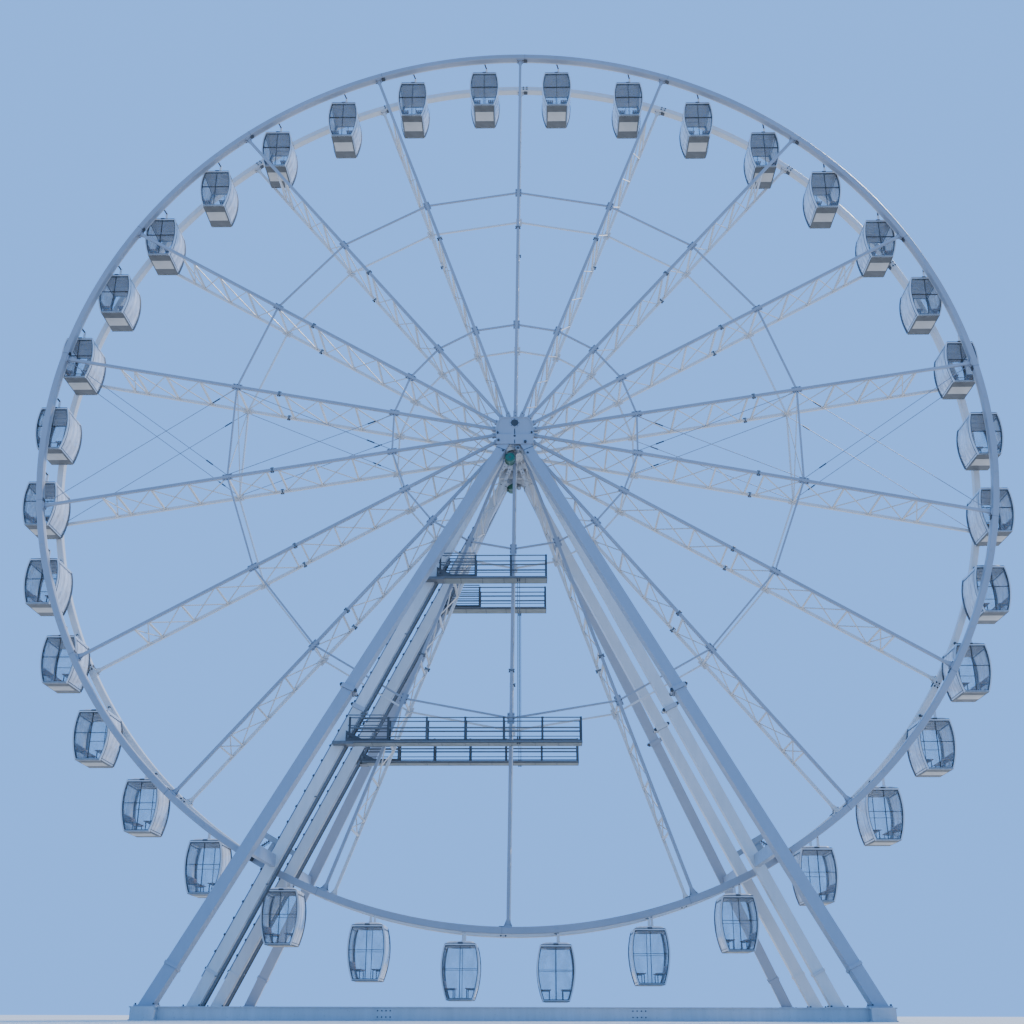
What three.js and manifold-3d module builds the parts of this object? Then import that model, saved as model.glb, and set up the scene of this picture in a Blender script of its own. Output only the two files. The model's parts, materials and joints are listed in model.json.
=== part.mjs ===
// Ferris wheel with 36 closed cabins, as a 1:2 scale model of a wheel of about 53 m.
// Millimetres, +Z up, the wheel turns about Y. The origin is on the ground under the hub.

import * as THREE from 'three';
import { mergeVertices } from 'three/addons/utils/BufferGeometryUtils.js';
import Module from 'manifold-3d';

const wasm = await Module();
wasm.setup();

// Driving dimensions, already at half the real size.
const RIM_RADIUS = 12250;
const HUB_HEIGHT = 14100;
const SEAT_GAP = 0.3;

const SPOKE_COUNT = 18;
const CABIN_COUNT = 36;
const SECTOR_COUNT = 6;
const WHEEL_TURN = 0.69;

const RIM_FACETS = 90;
const RIM_HEIGHT = 155;
const RIM_DEPTH = 220;
const RIM_Y = 690;

const CHORD_SIZE = 72;
const CHORD_HUB_Y = 735;
const RUNG_SIZE = 44;
const TIE_SIZE = 44;
const INNER_RING_SHARE = 0.262;
const OUTER_RING_SHARE = 0.61;
const RING_RADII = [INNER_RING_SHARE * RIM_RADIUS, OUTER_RING_SHARE * RIM_RADIUS];
const RUNG_SHARES = [0.1275, INNER_RING_SHARE, 0.4275, OUTER_RING_SHARE, 0.873];
const RUNG_RADII = RUNG_SHARES.map((share) => share * RIM_RADIUS);

const HUB_FLANGE_APOTHEM = 430;
const HUB_FLANGE_THICKNESS = 96;
const HUB_DRUM_RADIUS = 260;
const SHAFT_RADIUS = 80;
const SHAFT_FACETS = 48;
const BORE_RADIUS = SHAFT_RADIUS + SEAT_GAP;

const CABIN_DEPTH = 1054;
const CABIN_HEIGHT = 1192;
const CABIN_DROP = 315;
const CABIN_TOP_HALF = 355;
const CABIN_WIDEST_HALF = 432;
const CABIN_FLOOR_HALF = 298;
const CABIN_WIDEST_SHARE = 0.42;
const CABIN_SIDE_STEPS = 4;
const CABIN_WALL = 32;
const CABIN_ROOF = 50;
const CABIN_FLOOR = 70;
const CABIN_END_WALL = 24;
const DOORWAY_HALF = 255;
const DOORWAY_LINTEL = 135;
const HANGER_WIDTH = 90;
const HANGER_THICKNESS = 24;
const PIVOT_RADIUS = 42;
const PIVOT_FACETS = 6;

const LEG_SIZE = 250;
const LEG_X_AT_HUB = -35;
const LEG_LEAN = 0.503;
const INNER_LEG_Y = 1084;
const OUTER_LEG_Y_AT_HUB = 1034;
const OUTER_LEG_SPREAD = 0.2546;
const LEG_TOP_DROP = 600;
const LEG_RUN_OUT = 400;
const LEG_TIES = [
  { drop: 2500, height: 140, width: 80 },
  { drop: 10800, height: 260, width: 120 },
];
const COLLAR_DROP = 7270;
const COLLAR_SIZE = 310;
const COLLAR_THICKNESS = 90;

const HEAD_INNER_Y = 851;
const HEAD_PLATE_Y = 1298;
const HEAD_FOOT_Y = 1340;
const HEAD_HALF_WIDTH = 480;
const HEAD_TOP = 172;
const HEAD_BOTTOM = -600;
const HEAD_FOOT_TOP = -330;
const HEAD_FOOT_HALF_WIDTH = 460;

const BASE_HEIGHT = 250;
const BASE_BEAM_WIDTH = 460;
const BASE_END_Y = 4850;

const WALKWAY_INNER_Y = 1000;
const WALKWAY_OUTER_Y = 1450;
const UPPER_WALKWAY_DROP = 4170;
const UPPER_WALKWAY_END = 786;
const LOWER_WALKWAY_DROP = 8150;
const LOWER_WALKWAY_END = 1558;
const DECK_THICKNESS = 40;
const RAIL_HEIGHT = 550;
const RAIL_SHARES = [0.56, 1];
const RAIL_SIZE = 24;
const POST_SIZE = 40;
const POST_SPACING = 920;
const DECK_SETBACK = 245;
const LADDER_Y = 1110;
const LADDER_WIDTH = 200;
const LADDER_STANDOFF = 205;
const LADDER_STEP = 1000;
const BRACKET_DEPTH = 70;
const BRACKET_REACH = 120;

const DRIVE_TYRE_RADIUS = 190;
const DRIVE_TYRE_WIDTH = 120;
const DRIVE_TYRE_FACETS = 16;
const DRIVE_ANGLE = 29.6;
const DRIVE_BODY_LENGTH = 460;
const DRIVE_BODY_HALF = 120;
const DRIVE_BODY_Y = [900, 1180];
const DRIVE_ARM_Y = [970, 1180];
const DRIVE_ARM_REACH = 700;
const DRIVE_ARM_HEIGHT = 120;
const RUNNING_GAP = 6;

const X_AXIS = new THREE.Vector3(1, 0, 0);

const SHADE_PAINT = 0xdfe5ea;
const LEG_PAINT = 0xd3dbe4;
const STEEL_GREY = 0x7d8488;
const CABIN_PAINT = 0xe9ecee;
const BASE_PAINT = 0xc7ccd1;
const DRIVE_PAINT = 0x9aa1a6;

// Turns a closed three.js geometry into a solid.
function solid(geometry) {
  const bare = geometry.clone();
  bare.deleteAttribute('normal');
  bare.deleteAttribute('uv');
  const merged = mergeVertices(bare, 1e-3);
  const mesh = new wasm.Mesh({
    numProp: 3,
    vertProperties: new Float32Array(merged.attributes.position.array),
    triVerts: new Uint32Array(merged.index.array),
  });
  return new wasm.Manifold(mesh);
}

function geometryOf(shape) {
  const mesh = shape.getMesh();
  const geometry = new THREE.BufferGeometry();
  geometry.setAttribute('position', new THREE.BufferAttribute(new Float32Array(mesh.vertProperties), 3));
  geometry.setIndex(new THREE.BufferAttribute(new Uint32Array(mesh.triVerts), 1));
  geometry.computeVertexNormals();
  return geometry;
}

function join(shapes) {
  return shapes.reduce((whole, shape) => whole.add(shape));
}

function boxBetween(low, high) {
  const geometry = new THREE.BoxGeometry(high[0] - low[0], high[1] - low[1], high[2] - low[2]);
  geometry.translate((low[0] + high[0]) / 2, (low[1] + high[1]) / 2, (low[2] + high[2]) / 2);
  return solid(geometry);
}

// A square bar from start to end; its side faces follow the direction given as side.
function bar(start, end, width, height, side) {
  const along = new THREE.Vector3().subVectors(end, start);
  const length = along.length();
  along.normalize();
  const up = new THREE.Vector3().crossVectors(along, side).normalize();
  const across = new THREE.Vector3().crossVectors(up, along);
  const geometry = new THREE.BoxGeometry(length, width, height);
  const turn = new THREE.Matrix4().makeBasis(along, across, up);
  turn.setPosition(new THREE.Vector3().addVectors(start, end).multiplyScalar(0.5));
  geometry.applyMatrix4(turn);
  return solid(geometry);
}

function point(x, y, z) {
  return new THREE.Vector3(x, y, z);
}

// Turns a part of the wheel to where it stands, in degrees clockwise as seen from the front.
function turnedWithWheel(shape) {
  return shape.translate([0, 0, -HUB_HEIGHT]).rotate([0, WHEEL_TURN, 0]).translate([0, 0, HUB_HEIGHT]);
}

// A point of the wheel at an angle from the top, clockwise as seen from the front.
function wheelPoint(angle, radius, y) {
  return point(radius * Math.sin(angle), y, HUB_HEIGHT + radius * Math.cos(angle));
}

function mirroredY(shape) {
  return shape.mirror([0, 1, 0]);
}

function regularPath(Path, facets, apothem) {
  const path = new Path();
  const radius = apothem / Math.cos(Math.PI / facets);
  for (let i = 0; i < facets; i += 1) {
    const angle = (2 * Math.PI * (i + 0.5)) / facets;
    path[i === 0 ? 'moveTo' : 'lineTo'](-radius * Math.sin(angle), radius * Math.cos(angle));
  }
  return path;
}

// Extrudes an outline drawn in X and Z along Y, between the two given Y values.
function slabAlongY(shape, low, high) {
  const geometry = new THREE.ExtrudeGeometry(shape, { depth: high - low, bevelEnabled: false });
  geometry.rotateX(Math.PI / 2);
  geometry.translate(0, high, 0);
  return solid(geometry);
}

function cylinderAlongY(radius, low, high, facets) {
  const geometry = new THREE.CylinderGeometry(radius, radius, high - low, facets);
  geometry.rotateY(Math.PI / facets);
  geometry.translate(0, (low + high) / 2, 0);
  return solid(geometry);
}

function rim(side) {
  const outline = regularPath(THREE.Shape, RIM_FACETS, RIM_RADIUS + RIM_HEIGHT / 2);
  outline.holes.push(regularPath(THREE.Path, RIM_FACETS, RIM_RADIUS - RIM_HEIGHT / 2));
  const centre = side * RIM_Y;
  return slabAlongY(outline, centre - RIM_DEPTH / 2, centre + RIM_DEPTH / 2).translate([0, 0, HUB_HEIGHT]);
}

function wheelHub() {
  const parts = [cylinderAlongY(HUB_DRUM_RADIUS, -CHORD_HUB_Y, CHORD_HUB_Y, SPOKE_COUNT)];
  const flange = regularPath(THREE.Shape, SPOKE_COUNT, HUB_FLANGE_APOTHEM);
  for (const side of [-1, 1]) {
    const centre = side * CHORD_HUB_Y;
    parts.push(slabAlongY(flange, centre - HUB_FLANGE_THICKNESS / 2, centre + HUB_FLANGE_THICKNESS / 2));
  }
  const shaftEnd = HEAD_PLATE_Y - SEAT_GAP;
  parts.push(cylinderAlongY(SHAFT_RADIUS, -shaftEnd, shaftEnd, SHAFT_FACETS));
  return join(parts).translate([0, 0, HUB_HEIGHT]);
}

const END_GAP = 2 * SEAT_GAP;

function chordY(radius) {
  const share = (radius - HUB_FLANGE_APOTHEM) / (RIM_RADIUS - HUB_FLANGE_APOTHEM);
  return CHORD_HUB_Y + share * (RIM_Y - CHORD_HUB_Y);
}

// One lattice spoke: a front and a rear chord with rungs between them.
function spoke(angle) {
  const tangent = point(Math.cos(angle), 0, -Math.sin(angle));
  const inner = HUB_FLANGE_APOTHEM + END_GAP;
  const outer = RIM_RADIUS - RIM_HEIGHT / 2 - END_GAP;
  const parts = [];
  for (const side of [-1, 1]) {
    const start = wheelPoint(angle, inner, side * chordY(inner));
    const end = wheelPoint(angle, outer, side * chordY(outer));
    parts.push(bar(start, end, CHORD_SIZE, CHORD_SIZE, tangent));
  }
  for (const radius of RUNG_RADII) {
    const start = wheelPoint(angle, radius, -chordY(radius));
    const end = wheelPoint(angle, radius, chordY(radius));
    parts.push(bar(start, end, RUNG_SIZE, RUNG_SIZE, tangent));
  }
  return join(parts);
}

// The slab that a spoke's chords fill, with a seating gap, for cutting a tie bar's end.
function spokeSlab(angle) {
  const tangent = point(Math.cos(angle), 0, -Math.sin(angle));
  const start = wheelPoint(angle, 0, 0);
  const end = wheelPoint(angle, RIM_RADIUS, 0);
  return bar(start, end, CHORD_SIZE + 2 * SEAT_GAP, 2 * RIM_RADIUS, tangent);
}

function sectorTies(first, count) {
  const step = (2 * Math.PI) / SPOKE_COUNT;
  const ties = [];
  for (let i = 0; i < count; i += 1) {
    const from = (first + i) * step;
    const to = from + step;
    for (const radius of RING_RADII) {
      for (const side of [-1, 1]) {
        const y = side * chordY(radius);
        let tie = bar(wheelPoint(from, radius, y), wheelPoint(to, radius, y), TIE_SIZE, TIE_SIZE, point(0, 1, 0));
        if (i === count - 1) {
          tie = tie.subtract(spokeSlab(to));
        }
        ties.push(tie);
      }
    }
  }
  return join(ties);
}

function wheelSector(index) {
  const count = SPOKE_COUNT / SECTOR_COUNT;
  const first = index * count;
  const step = (2 * Math.PI) / SPOKE_COUNT;
  const parts = [sectorTies(first, count)];
  for (let i = 0; i < count; i += 1) {
    parts.push(spoke((first + i) * step));
  }
  return join(parts);
}

// Half the width of a cabin at a height z about its pivot.
function cabinHalf(z) {
  const widest = -CABIN_DROP - CABIN_WIDEST_SHARE * CABIN_HEIGHT;
  const upper = z > widest;
  const share = upper ? CABIN_WIDEST_SHARE : 1 - CABIN_WIDEST_SHARE;
  const edge = upper ? CABIN_TOP_HALF : CABIN_FLOOR_HALF;
  const rise = (z - widest) / (share * CABIN_HEIGHT);
  return CABIN_WIDEST_HALF - (CABIN_WIDEST_HALF - edge) * rise * rise;
}

// The barrel outline of a cabin, seen from the front: bulging sides, flat roof and floor.
function barrelPath(top, bottom, inset) {
  const path = new THREE.Shape();
  const side = (sign, from, to) => {
    for (let i = 0; i <= CABIN_SIDE_STEPS; i += 1) {
      const z = from + ((to - from) * i) / CABIN_SIDE_STEPS;
      const x = sign * (cabinHalf(z) - inset);
      if (sign === 1 && i === 0) {
        path.moveTo(x, z);
      } else {
        path.lineTo(x, z);
      }
    }
  };
  side(1, bottom, top);
  side(-1, top, bottom);
  return path;
}

// A cabin about its pivot at the origin: it hangs below the pivot, with its doorway in front.
function cabinShape() {
  const top = -CABIN_DROP;
  const bottom = top - CABIN_HEIGHT;
  const half = CABIN_DEPTH / 2;
  const inside = half - CABIN_END_WALL;
  const body = slabAlongY(barrelPath(top, bottom, 0), -half, half);
  const cavity = slabAlongY(barrelPath(top - CABIN_ROOF, bottom + CABIN_FLOOR, CABIN_WALL), -inside, inside);
  const doorway = boxBetween(
    [-DOORWAY_HALF, -half - CABIN_END_WALL, bottom + CABIN_FLOOR],
    [DOORWAY_HALF, 0, top - DOORWAY_LINTEL],
  );
  const parts = [body.subtract(cavity).subtract(doorway)];
  const shaftEnd = RIM_Y - RIM_DEPTH / 2 - SEAT_GAP;
  for (const side of [-1, 1]) {
    const face = side * half;
    const back = side * (half - HANGER_THICKNESS);
    const hanger = [
      [-HANGER_WIDTH / 2, Math.min(face, back), top - CABIN_ROOF / 2],
      [HANGER_WIDTH / 2, Math.max(face, back), PIVOT_RADIUS],
    ];
    parts.push(boxBetween(hanger[0], hanger[1]));
    const low = Math.min(back, side * shaftEnd);
    const high = Math.max(back, side * shaftEnd);
    parts.push(cylinderAlongY(PIVOT_RADIUS, low, high, PIVOT_FACETS));
  }
  return join(parts);
}

function legX(drop) {
  return LEG_X_AT_HUB + LEG_LEAN * drop;
}

function legY(outer, drop) {
  return outer ? OUTER_LEG_Y_AT_HUB + OUTER_LEG_SPREAD * drop : INNER_LEG_Y;
}

function legPoint(outer, drop) {
  return point(legX(drop), legY(outer, drop), HUB_HEIGHT - drop);
}

// A square bar between two points of a leg, with two faces square to the wheel's plane.
function legBar(outer, fromDrop, toDrop, size) {
  const start = legPoint(outer, fromDrop);
  const end = legPoint(outer, toDrop);
  const along = new THREE.Vector3().subVectors(end, start);
  const length = along.length();
  along.normalize();
  const geometry = new THREE.BoxGeometry(size, length, size);
  const across = new THREE.Vector3().crossVectors(along, X_AXIS).normalize();
  const side = new THREE.Vector3().crossVectors(across, along).normalize();
  const turn = new THREE.Matrix4().makeBasis(side, along.clone().negate(), across);
  turn.setPosition(new THREE.Vector3().addVectors(start, end).multiplyScalar(0.5));
  geometry.applyMatrix4(turn);
  return solid(geometry);
}

// One leg at the right rear, from the base frame to the tower head, grown by a margin all round.
function leg(outer, grow) {
  const parts = [
    legBar(outer, LEG_TOP_DROP - LEG_RUN_OUT, HUB_HEIGHT + LEG_RUN_OUT, LEG_SIZE + 2 * grow),
    legBar(outer, COLLAR_DROP, COLLAR_DROP + COLLAR_THICKNESS, COLLAR_SIZE + 2 * grow),
  ];
  const reach = 2 * RIM_RADIUS;
  const floor = BASE_HEIGHT + SEAT_GAP - grow;
  const ceiling = HUB_HEIGHT - LEG_TOP_DROP - SEAT_GAP + grow;
  return join(parts).intersect(boxBetween([-reach, -reach, floor], [reach, reach, ceiling]));
}

// The right rear pair of legs, with the ties that join the inner one to the outer one.
function legPair() {
  const parts = [leg(false, 0), leg(true, 0)];
  for (const tie of LEG_TIES) {
    const start = legPoint(false, tie.drop);
    const end = legPoint(true, tie.drop);
    parts.push(bar(start, end, tie.width, tie.height, point(1, 0, 0)));
  }
  return join(parts);
}

function placed(shape, xSide, ySide) {
  let result = shape;
  if (xSide < 0) {
    result = result.mirror([1, 0, 0]);
  }
  if (ySide < 0) {
    result = mirroredY(result);
  }
  return result;
}

// The rear tower head: a plate box round the shaft's end on a wide foot that the legs bolt to.
function towerHead() {
  const plate = new THREE.Shape();
  plate.moveTo(-HEAD_HALF_WIDTH, HEAD_BOTTOM / 2);
  plate.lineTo(-HEAD_FOOT_HALF_WIDTH, HEAD_BOTTOM);
  plate.lineTo(HEAD_FOOT_HALF_WIDTH, HEAD_BOTTOM);
  plate.lineTo(HEAD_HALF_WIDTH, HEAD_BOTTOM / 2);
  plate.lineTo(HEAD_HALF_WIDTH, -HEAD_TOP);
  plate.absarc(0, -HEAD_TOP, HEAD_HALF_WIDTH, 0, Math.PI, false);
  const dome = slabAlongY(plate, HEAD_INNER_Y, HEAD_PLATE_Y);
  const ceiling = boxBetween(
    [-RIM_RADIUS, 0, HEAD_TOP],
    [RIM_RADIUS, RIM_RADIUS, RIM_RADIUS],
  );
  const foot = boxBetween(
    [-HEAD_FOOT_HALF_WIDTH, HEAD_INNER_Y, HEAD_BOTTOM],
    [HEAD_FOOT_HALF_WIDTH, HEAD_FOOT_Y, HEAD_FOOT_TOP],
  );
  const bore = cylinderAlongY(BORE_RADIUS, 0, RIM_RADIUS, SHAFT_FACETS);
  return dome.subtract(ceiling).add(foot).subtract(bore).translate([0, 0, HUB_HEIGHT]);
}

function baseFrame() {
  const footX = legX(HUB_HEIGHT - BASE_HEIGHT);
  const outerY = legY(true, HUB_HEIGHT - BASE_HEIGHT);
  const half = BASE_BEAM_WIDTH / 2;
  const parts = [];
  for (const side of [-1, 1]) {
    const x = side * footX;
    parts.push(boxBetween([x - half, -BASE_END_Y, 0], [x + half, BASE_END_Y, BASE_HEIGHT]));
    for (const y of [side * outerY, side * INNER_LEG_Y]) {
      parts.push(boxBetween([-footX, y - half / 2, 0], [footX, y + half / 2, BASE_HEIGHT]));
    }
  }
  return join(parts);
}

// A deck with a post-and-rail fence on both long sides, from beside the leg out to endX.
function walkway(drop, endX) {
  const deckTop = HUB_HEIGHT - drop;
  const startX = -legX(drop) + DECK_SETBACK;
  const parts = [
    boxBetween([startX, WALKWAY_INNER_Y, deckTop - DECK_THICKNESS], [endX, WALKWAY_OUTER_Y, deckTop]),
  ];
  parts.push(
    boxBetween(
      [-legX(drop) - LEG_SIZE / 2, INNER_LEG_Y, deckTop - BRACKET_DEPTH],
      [startX + BRACKET_REACH, WALKWAY_OUTER_Y, deckTop - 1],
    ),
  );
  for (const y of [WALKWAY_INNER_Y + RAIL_SIZE, WALKWAY_OUTER_Y - RAIL_SIZE]) {
    const bays = Math.round((endX - startX) / POST_SPACING);
    for (let i = 0; i <= bays; i += 1) {
      const x = startX + POST_SIZE / 2 + ((endX - startX - POST_SIZE) * i) / bays;
      parts.push(
        boxBetween(
          [x - POST_SIZE / 2, y - RAIL_SIZE / 2, deckTop - 1],
          [x + POST_SIZE / 2, y + RAIL_SIZE / 2, deckTop + RAIL_HEIGHT],
        ),
      );
    }
    for (const share of RAIL_SHARES) {
      const z = deckTop + RAIL_HEIGHT * share;
      parts.push(
        boxBetween([startX, y - RAIL_SIZE / 2, z - RAIL_SIZE], [endX, y + RAIL_SIZE / 2, z]),
      );
    }
  }
  return join(parts);
}

// A ladder beside the left inner leg, from the base frame up past both walkways.
function ladder() {
  const at = (drop, y) => point(LADDER_STANDOFF - legX(drop), y, HUB_HEIGHT - drop);
  const topDrop = UPPER_WALKWAY_DROP - RAIL_HEIGHT;
  const bottomDrop = HUB_HEIGHT - BASE_HEIGHT - SEAT_GAP;
  const parts = [];
  for (const y of [LADDER_Y - LADDER_WIDTH / 2, LADDER_Y + LADDER_WIDTH / 2]) {
    parts.push(bar(at(topDrop, y), at(HUB_HEIGHT, y), RAIL_SIZE, 2 * RAIL_SIZE, point(0, 1, 0)));
  }
  const steps = Math.floor((bottomDrop - topDrop) / LADDER_STEP);
  for (let i = 1; i <= steps; i += 1) {
    const drop = topDrop + i * LADDER_STEP - LADDER_STEP / 2;
    const start = at(drop, LADDER_Y - LADDER_WIDTH / 2);
    const end = at(drop, LADDER_Y + LADDER_WIDTH / 2);
    parts.push(bar(start, end, RAIL_SIZE, RAIL_SIZE, X_AXIS));
  }
  const reach = 2 * RIM_RADIUS;
  const above = boxBetween([-reach, -reach, BASE_HEIGHT + SEAT_GAP], [reach, reach, reach]);
  return join(parts).intersect(above);
}

// The rear walkways and their ladder, cut clear of the left inner leg that carries them.
function walkways() {
  const upper = walkway(UPPER_WALKWAY_DROP, UPPER_WALKWAY_END);
  const lower = walkway(LOWER_WALKWAY_DROP, LOWER_WALKWAY_END);
  const access = join([upper, lower, ladder()]);
  return largest(access.subtract(placed(leg(false, SEAT_GAP), -1, 1)));
}

function largest(shape) {
  return shape.decompose().reduce((best, piece) => (piece.volume() > best.volume() ? piece : best));
}

// A rear drive unit on the right: a tyre against the rim's outer side, held by an arm on the inner leg.
// It is drawn at the top of the wheel and turned to its place.
function driveUnit() {
  const tyre = new THREE.CylinderGeometry(
    DRIVE_TYRE_RADIUS,
    DRIVE_TYRE_RADIUS,
    DRIVE_TYRE_WIDTH,
    DRIVE_TYRE_FACETS,
  );
  tyre.rotateX(Math.PI / 2);
  tyre.translate(0, RIM_Y + RIM_DEPTH / 2 + RUNNING_GAP + DRIVE_TYRE_RADIUS, RIM_RADIUS);
  const bodyTop = RIM_RADIUS - DRIVE_TYRE_WIDTH / 2 + 1;
  const bodyLow = bodyTop - DRIVE_BODY_LENGTH;
  const body = boxBetween(
    [-DRIVE_BODY_HALF, DRIVE_BODY_Y[0], bodyLow],
    [DRIVE_BODY_HALF, DRIVE_BODY_Y[1], bodyTop],
  );
  const arm = boxBetween(
    [-DRIVE_BODY_HALF, DRIVE_ARM_Y[0], bodyLow - DRIVE_ARM_HEIGHT],
    [DRIVE_ARM_REACH, DRIVE_ARM_Y[1], bodyLow + 1],
  );
  const turned = join([solid(tyre), body, arm]).rotate([0, 180 - DRIVE_ANGLE, 0]);
  return largest(turned.translate([0, 0, HUB_HEIGHT]).subtract(leg(false, SEAT_GAP)));
}

const ferrisWheel = new THREE.Group();

function addNode(name, shape, color, roughness, metalness) {
  const material = new THREE.MeshStandardMaterial({ color, roughness, metalness });
  const mesh = new THREE.Mesh(geometryOf(shape), material);
  mesh.name = name;
  ferrisWheel.add(mesh);
  return mesh;
}

addNode('base_frame', baseFrame(), BASE_PAINT, 0.5, 0.1);

const SIDES = [
  ['front', -1],
  ['rear', 1],
];
const HANDS = [
  ['left', -1],
  ['right', 1],
];

for (const [end, ySide] of SIDES) {
  addNode(`tower_head_${end}`, placed(towerHead(), 1, ySide), LEG_PAINT, 0.45, 0.1);
  addNode(`walkways_${end}`, placed(walkways(), 1, ySide), STEEL_GREY, 0.6, 0.5);
  for (const [hand, xSide] of HANDS) {
    addNode(`legs_${end}_${hand}`, placed(legPair(), xSide, ySide), LEG_PAINT, 0.45, 0.1);
    addNode(`drive_${end}_${hand}`, placed(driveUnit(), xSide, ySide), DRIVE_PAINT, 0.6, 0.3);
  }
  addNode(`rim_${end}`, turnedWithWheel(rim(ySide)), SHADE_PAINT, 0.4, 0.1);
}

addNode('wheel_hub', turnedWithWheel(wheelHub()), SHADE_PAINT, 0.4, 0.2);
for (let index = 0; index < SECTOR_COUNT; index += 1) {
  addNode(`wheel_sector_${index + 1}`, turnedWithWheel(wheelSector(index)), SHADE_PAINT, 0.4, 0.1);
}

const cabin = cabinShape();
for (let index = 0; index < CABIN_COUNT; index += 1) {
  const angle = ((index + 0.5) * 2 * Math.PI) / CABIN_COUNT + THREE.MathUtils.degToRad(WHEEL_TURN);
  const mesh = addNode(`cabin_${String(index + 1).padStart(2, '0')}`, cabin, CABIN_PAINT, 0.35, 0.1);
  mesh.position.copy(wheelPoint(angle, RIM_RADIUS, 0));
}

export default ferrisWheel;
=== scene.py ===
"""Looks of the ferris wheel: lattice bracing, rims, glazed cabins, heads, legs, walkways and drives.

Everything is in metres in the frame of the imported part: +Z up, the wheel turns about Y at the hub,
the front faces -Y and +X is to the right seen from the front. A drop is a distance below the hub.
"""

import json
import math

import bmesh
import bpy
from mathutils import Matrix, Vector


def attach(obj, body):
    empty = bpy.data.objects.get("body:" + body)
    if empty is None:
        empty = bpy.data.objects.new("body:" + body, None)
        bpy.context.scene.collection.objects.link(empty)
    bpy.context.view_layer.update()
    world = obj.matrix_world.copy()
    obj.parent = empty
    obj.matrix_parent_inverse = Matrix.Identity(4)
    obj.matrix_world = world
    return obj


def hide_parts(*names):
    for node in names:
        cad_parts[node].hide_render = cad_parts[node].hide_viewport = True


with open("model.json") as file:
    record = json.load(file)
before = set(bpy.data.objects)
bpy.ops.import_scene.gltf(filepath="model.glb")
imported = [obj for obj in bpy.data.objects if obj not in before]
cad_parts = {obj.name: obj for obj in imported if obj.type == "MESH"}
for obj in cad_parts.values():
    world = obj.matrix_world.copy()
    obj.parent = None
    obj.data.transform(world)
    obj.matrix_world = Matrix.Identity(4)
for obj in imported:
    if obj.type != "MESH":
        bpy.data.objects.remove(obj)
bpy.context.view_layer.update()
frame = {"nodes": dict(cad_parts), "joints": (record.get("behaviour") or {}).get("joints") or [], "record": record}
PIVOTS = {joint["name"]: Vector(joint["pos_m"]) for joint in frame["joints"]}
HUB = PIVOTS["wheel_spin"]

X_AXIS = Vector((1, 0, 0))
Y_AXIS = Vector((0, 1, 0))
Z_AXIS = Vector((0, 0, 1))
FULL_TURN = 2 * math.pi
CREASE = math.radians(35.0)

SPOKES = 18
CABINS = 36
WHEEL_TURN = math.radians(0.69)
RIM_RADIUS = 12.25
RIM_Y = 0.69
RIM_HALF_HEIGHT = 0.0775
RIM_HALF_DEPTH = 0.11
RIM_BOTTOM = RIM_RADIUS - RIM_HALF_HEIGHT
RIM_STEPS = 360
RIM_CHAMFER = 0.014
RIM_JOINT_STEP = math.radians(0.62)
SEAM_WIDTH = 0.005
SEAM_PROUD = 0.003
SHOE_THICKNESS = 0.03
SHOE_REACH = 0.17
BEARING = ((0.066, 0), (0.066, 0.006), (0.052, 0.01), (0.046, 0.012))
BEARING_CAP = ((0.036, 0), (0.036, 0.004), (0.03, 0.006))

HUB_FLANGE = 0.43
HUB_FLANGE_HALF = 0.048
CHORD_HUB_Y = 0.735
CHORD = 0.072
INNER_RING = 0.262 * RIM_RADIUS
OUTER_RING = 0.61 * RIM_RADIUS
RUNG_SHARES = (0.1275, 0.1975, 0.262, 0.3475, 0.4275, 0.503, 0.528, 0.61, 0.694, 0.771, 0.843, 0.873)
CAD_RUNG_SHARES = (0.1275, 0.262, 0.4275, 0.61, 0.873)
HUB_CLEAR = 0.35
SHORTEST_CROSSING = 0.35
SPLICE_SHARE = 0.5155
RUNG = 0.044
GUSSET = 0.085
BRACE_RADIUS = 0.0165
BRACE_OFFSET = 0.018
TIE_ROD_RADIUS = 0.009
TIED_BAYS = (4, 13)

# Bolt heads, as radius and height, and longer bolts and pins, as pairs of radius and height.
RIM_BOLT = (0.022, 0.026)
SHOE_BOLT = (0.014, 0.014)
LUG_BOLT = (0.016, 0.018)
LUG_END_BOLT = (0.011, 0.012)
HUB_SHOE_BOLT = (0.011, 0.014)
HUB_BOLT = (0.018, 0.022)
FOOT_BOLT = (0.02, 0.03)
PORT_BOLT = (0.009, 0.01)
MOTOR_BOLT = (0.008, 0.01)
TYRE_BOLT = (0.01, 0.012)
GEARBOX_BOLT = (0.009, 0.012)
SPLICE_STUD = ((0.021, 0), (0.021, 0.02), (0.012, 0.021), (0.012, 0.064), (0.021, 0.065), (0.021, 0.085))
COLLAR_PIN = ((0.042, 0), (0.042, 0.05), (0.032, 0.06))

CABIN_TOP = -0.315
CABIN_HEIGHT = 1.192
CABIN_BOTTOM = CABIN_TOP - CABIN_HEIGHT
CABIN_WIDEST = CABIN_TOP - 0.42 * CABIN_HEIGHT
CABIN_HALF_DEPTH = 0.527
CABIN_TOP_HALF = 0.355
CABIN_WIDEST_HALF = 0.432
CABIN_FLOOR_HALF = 0.298
CABIN_STEPS = 16
CORNER_POINTS = 5
HOOP = 0.032
HOOP_Y = CABIN_HALF_DEPTH - 0.05
SEAL = 0.016
GLASS = 0.008
SILL = CABIN_BOTTOM + 0.034
HEADER = CABIN_TOP - 0.04
SIDE_HEADER = CABIN_TOP - 0.075
SIDE_SILL = CABIN_BOTTOM + 0.05
LINING = 0.05
LINING_Y = HOOP_Y - LINING
HAND_RAIL = CABIN_TOP - 0.45 * CABIN_HEIGHT
LINK_X = 0.06
LINK_Y = 0.385
LINK_TOP = -0.05
LINK_HALF = ((0.05, CABIN_TOP + 0.03), (0.03, CABIN_TOP + 0.09), (0.028, LINK_TOP))
PIVOT_Y = 0.565
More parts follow.
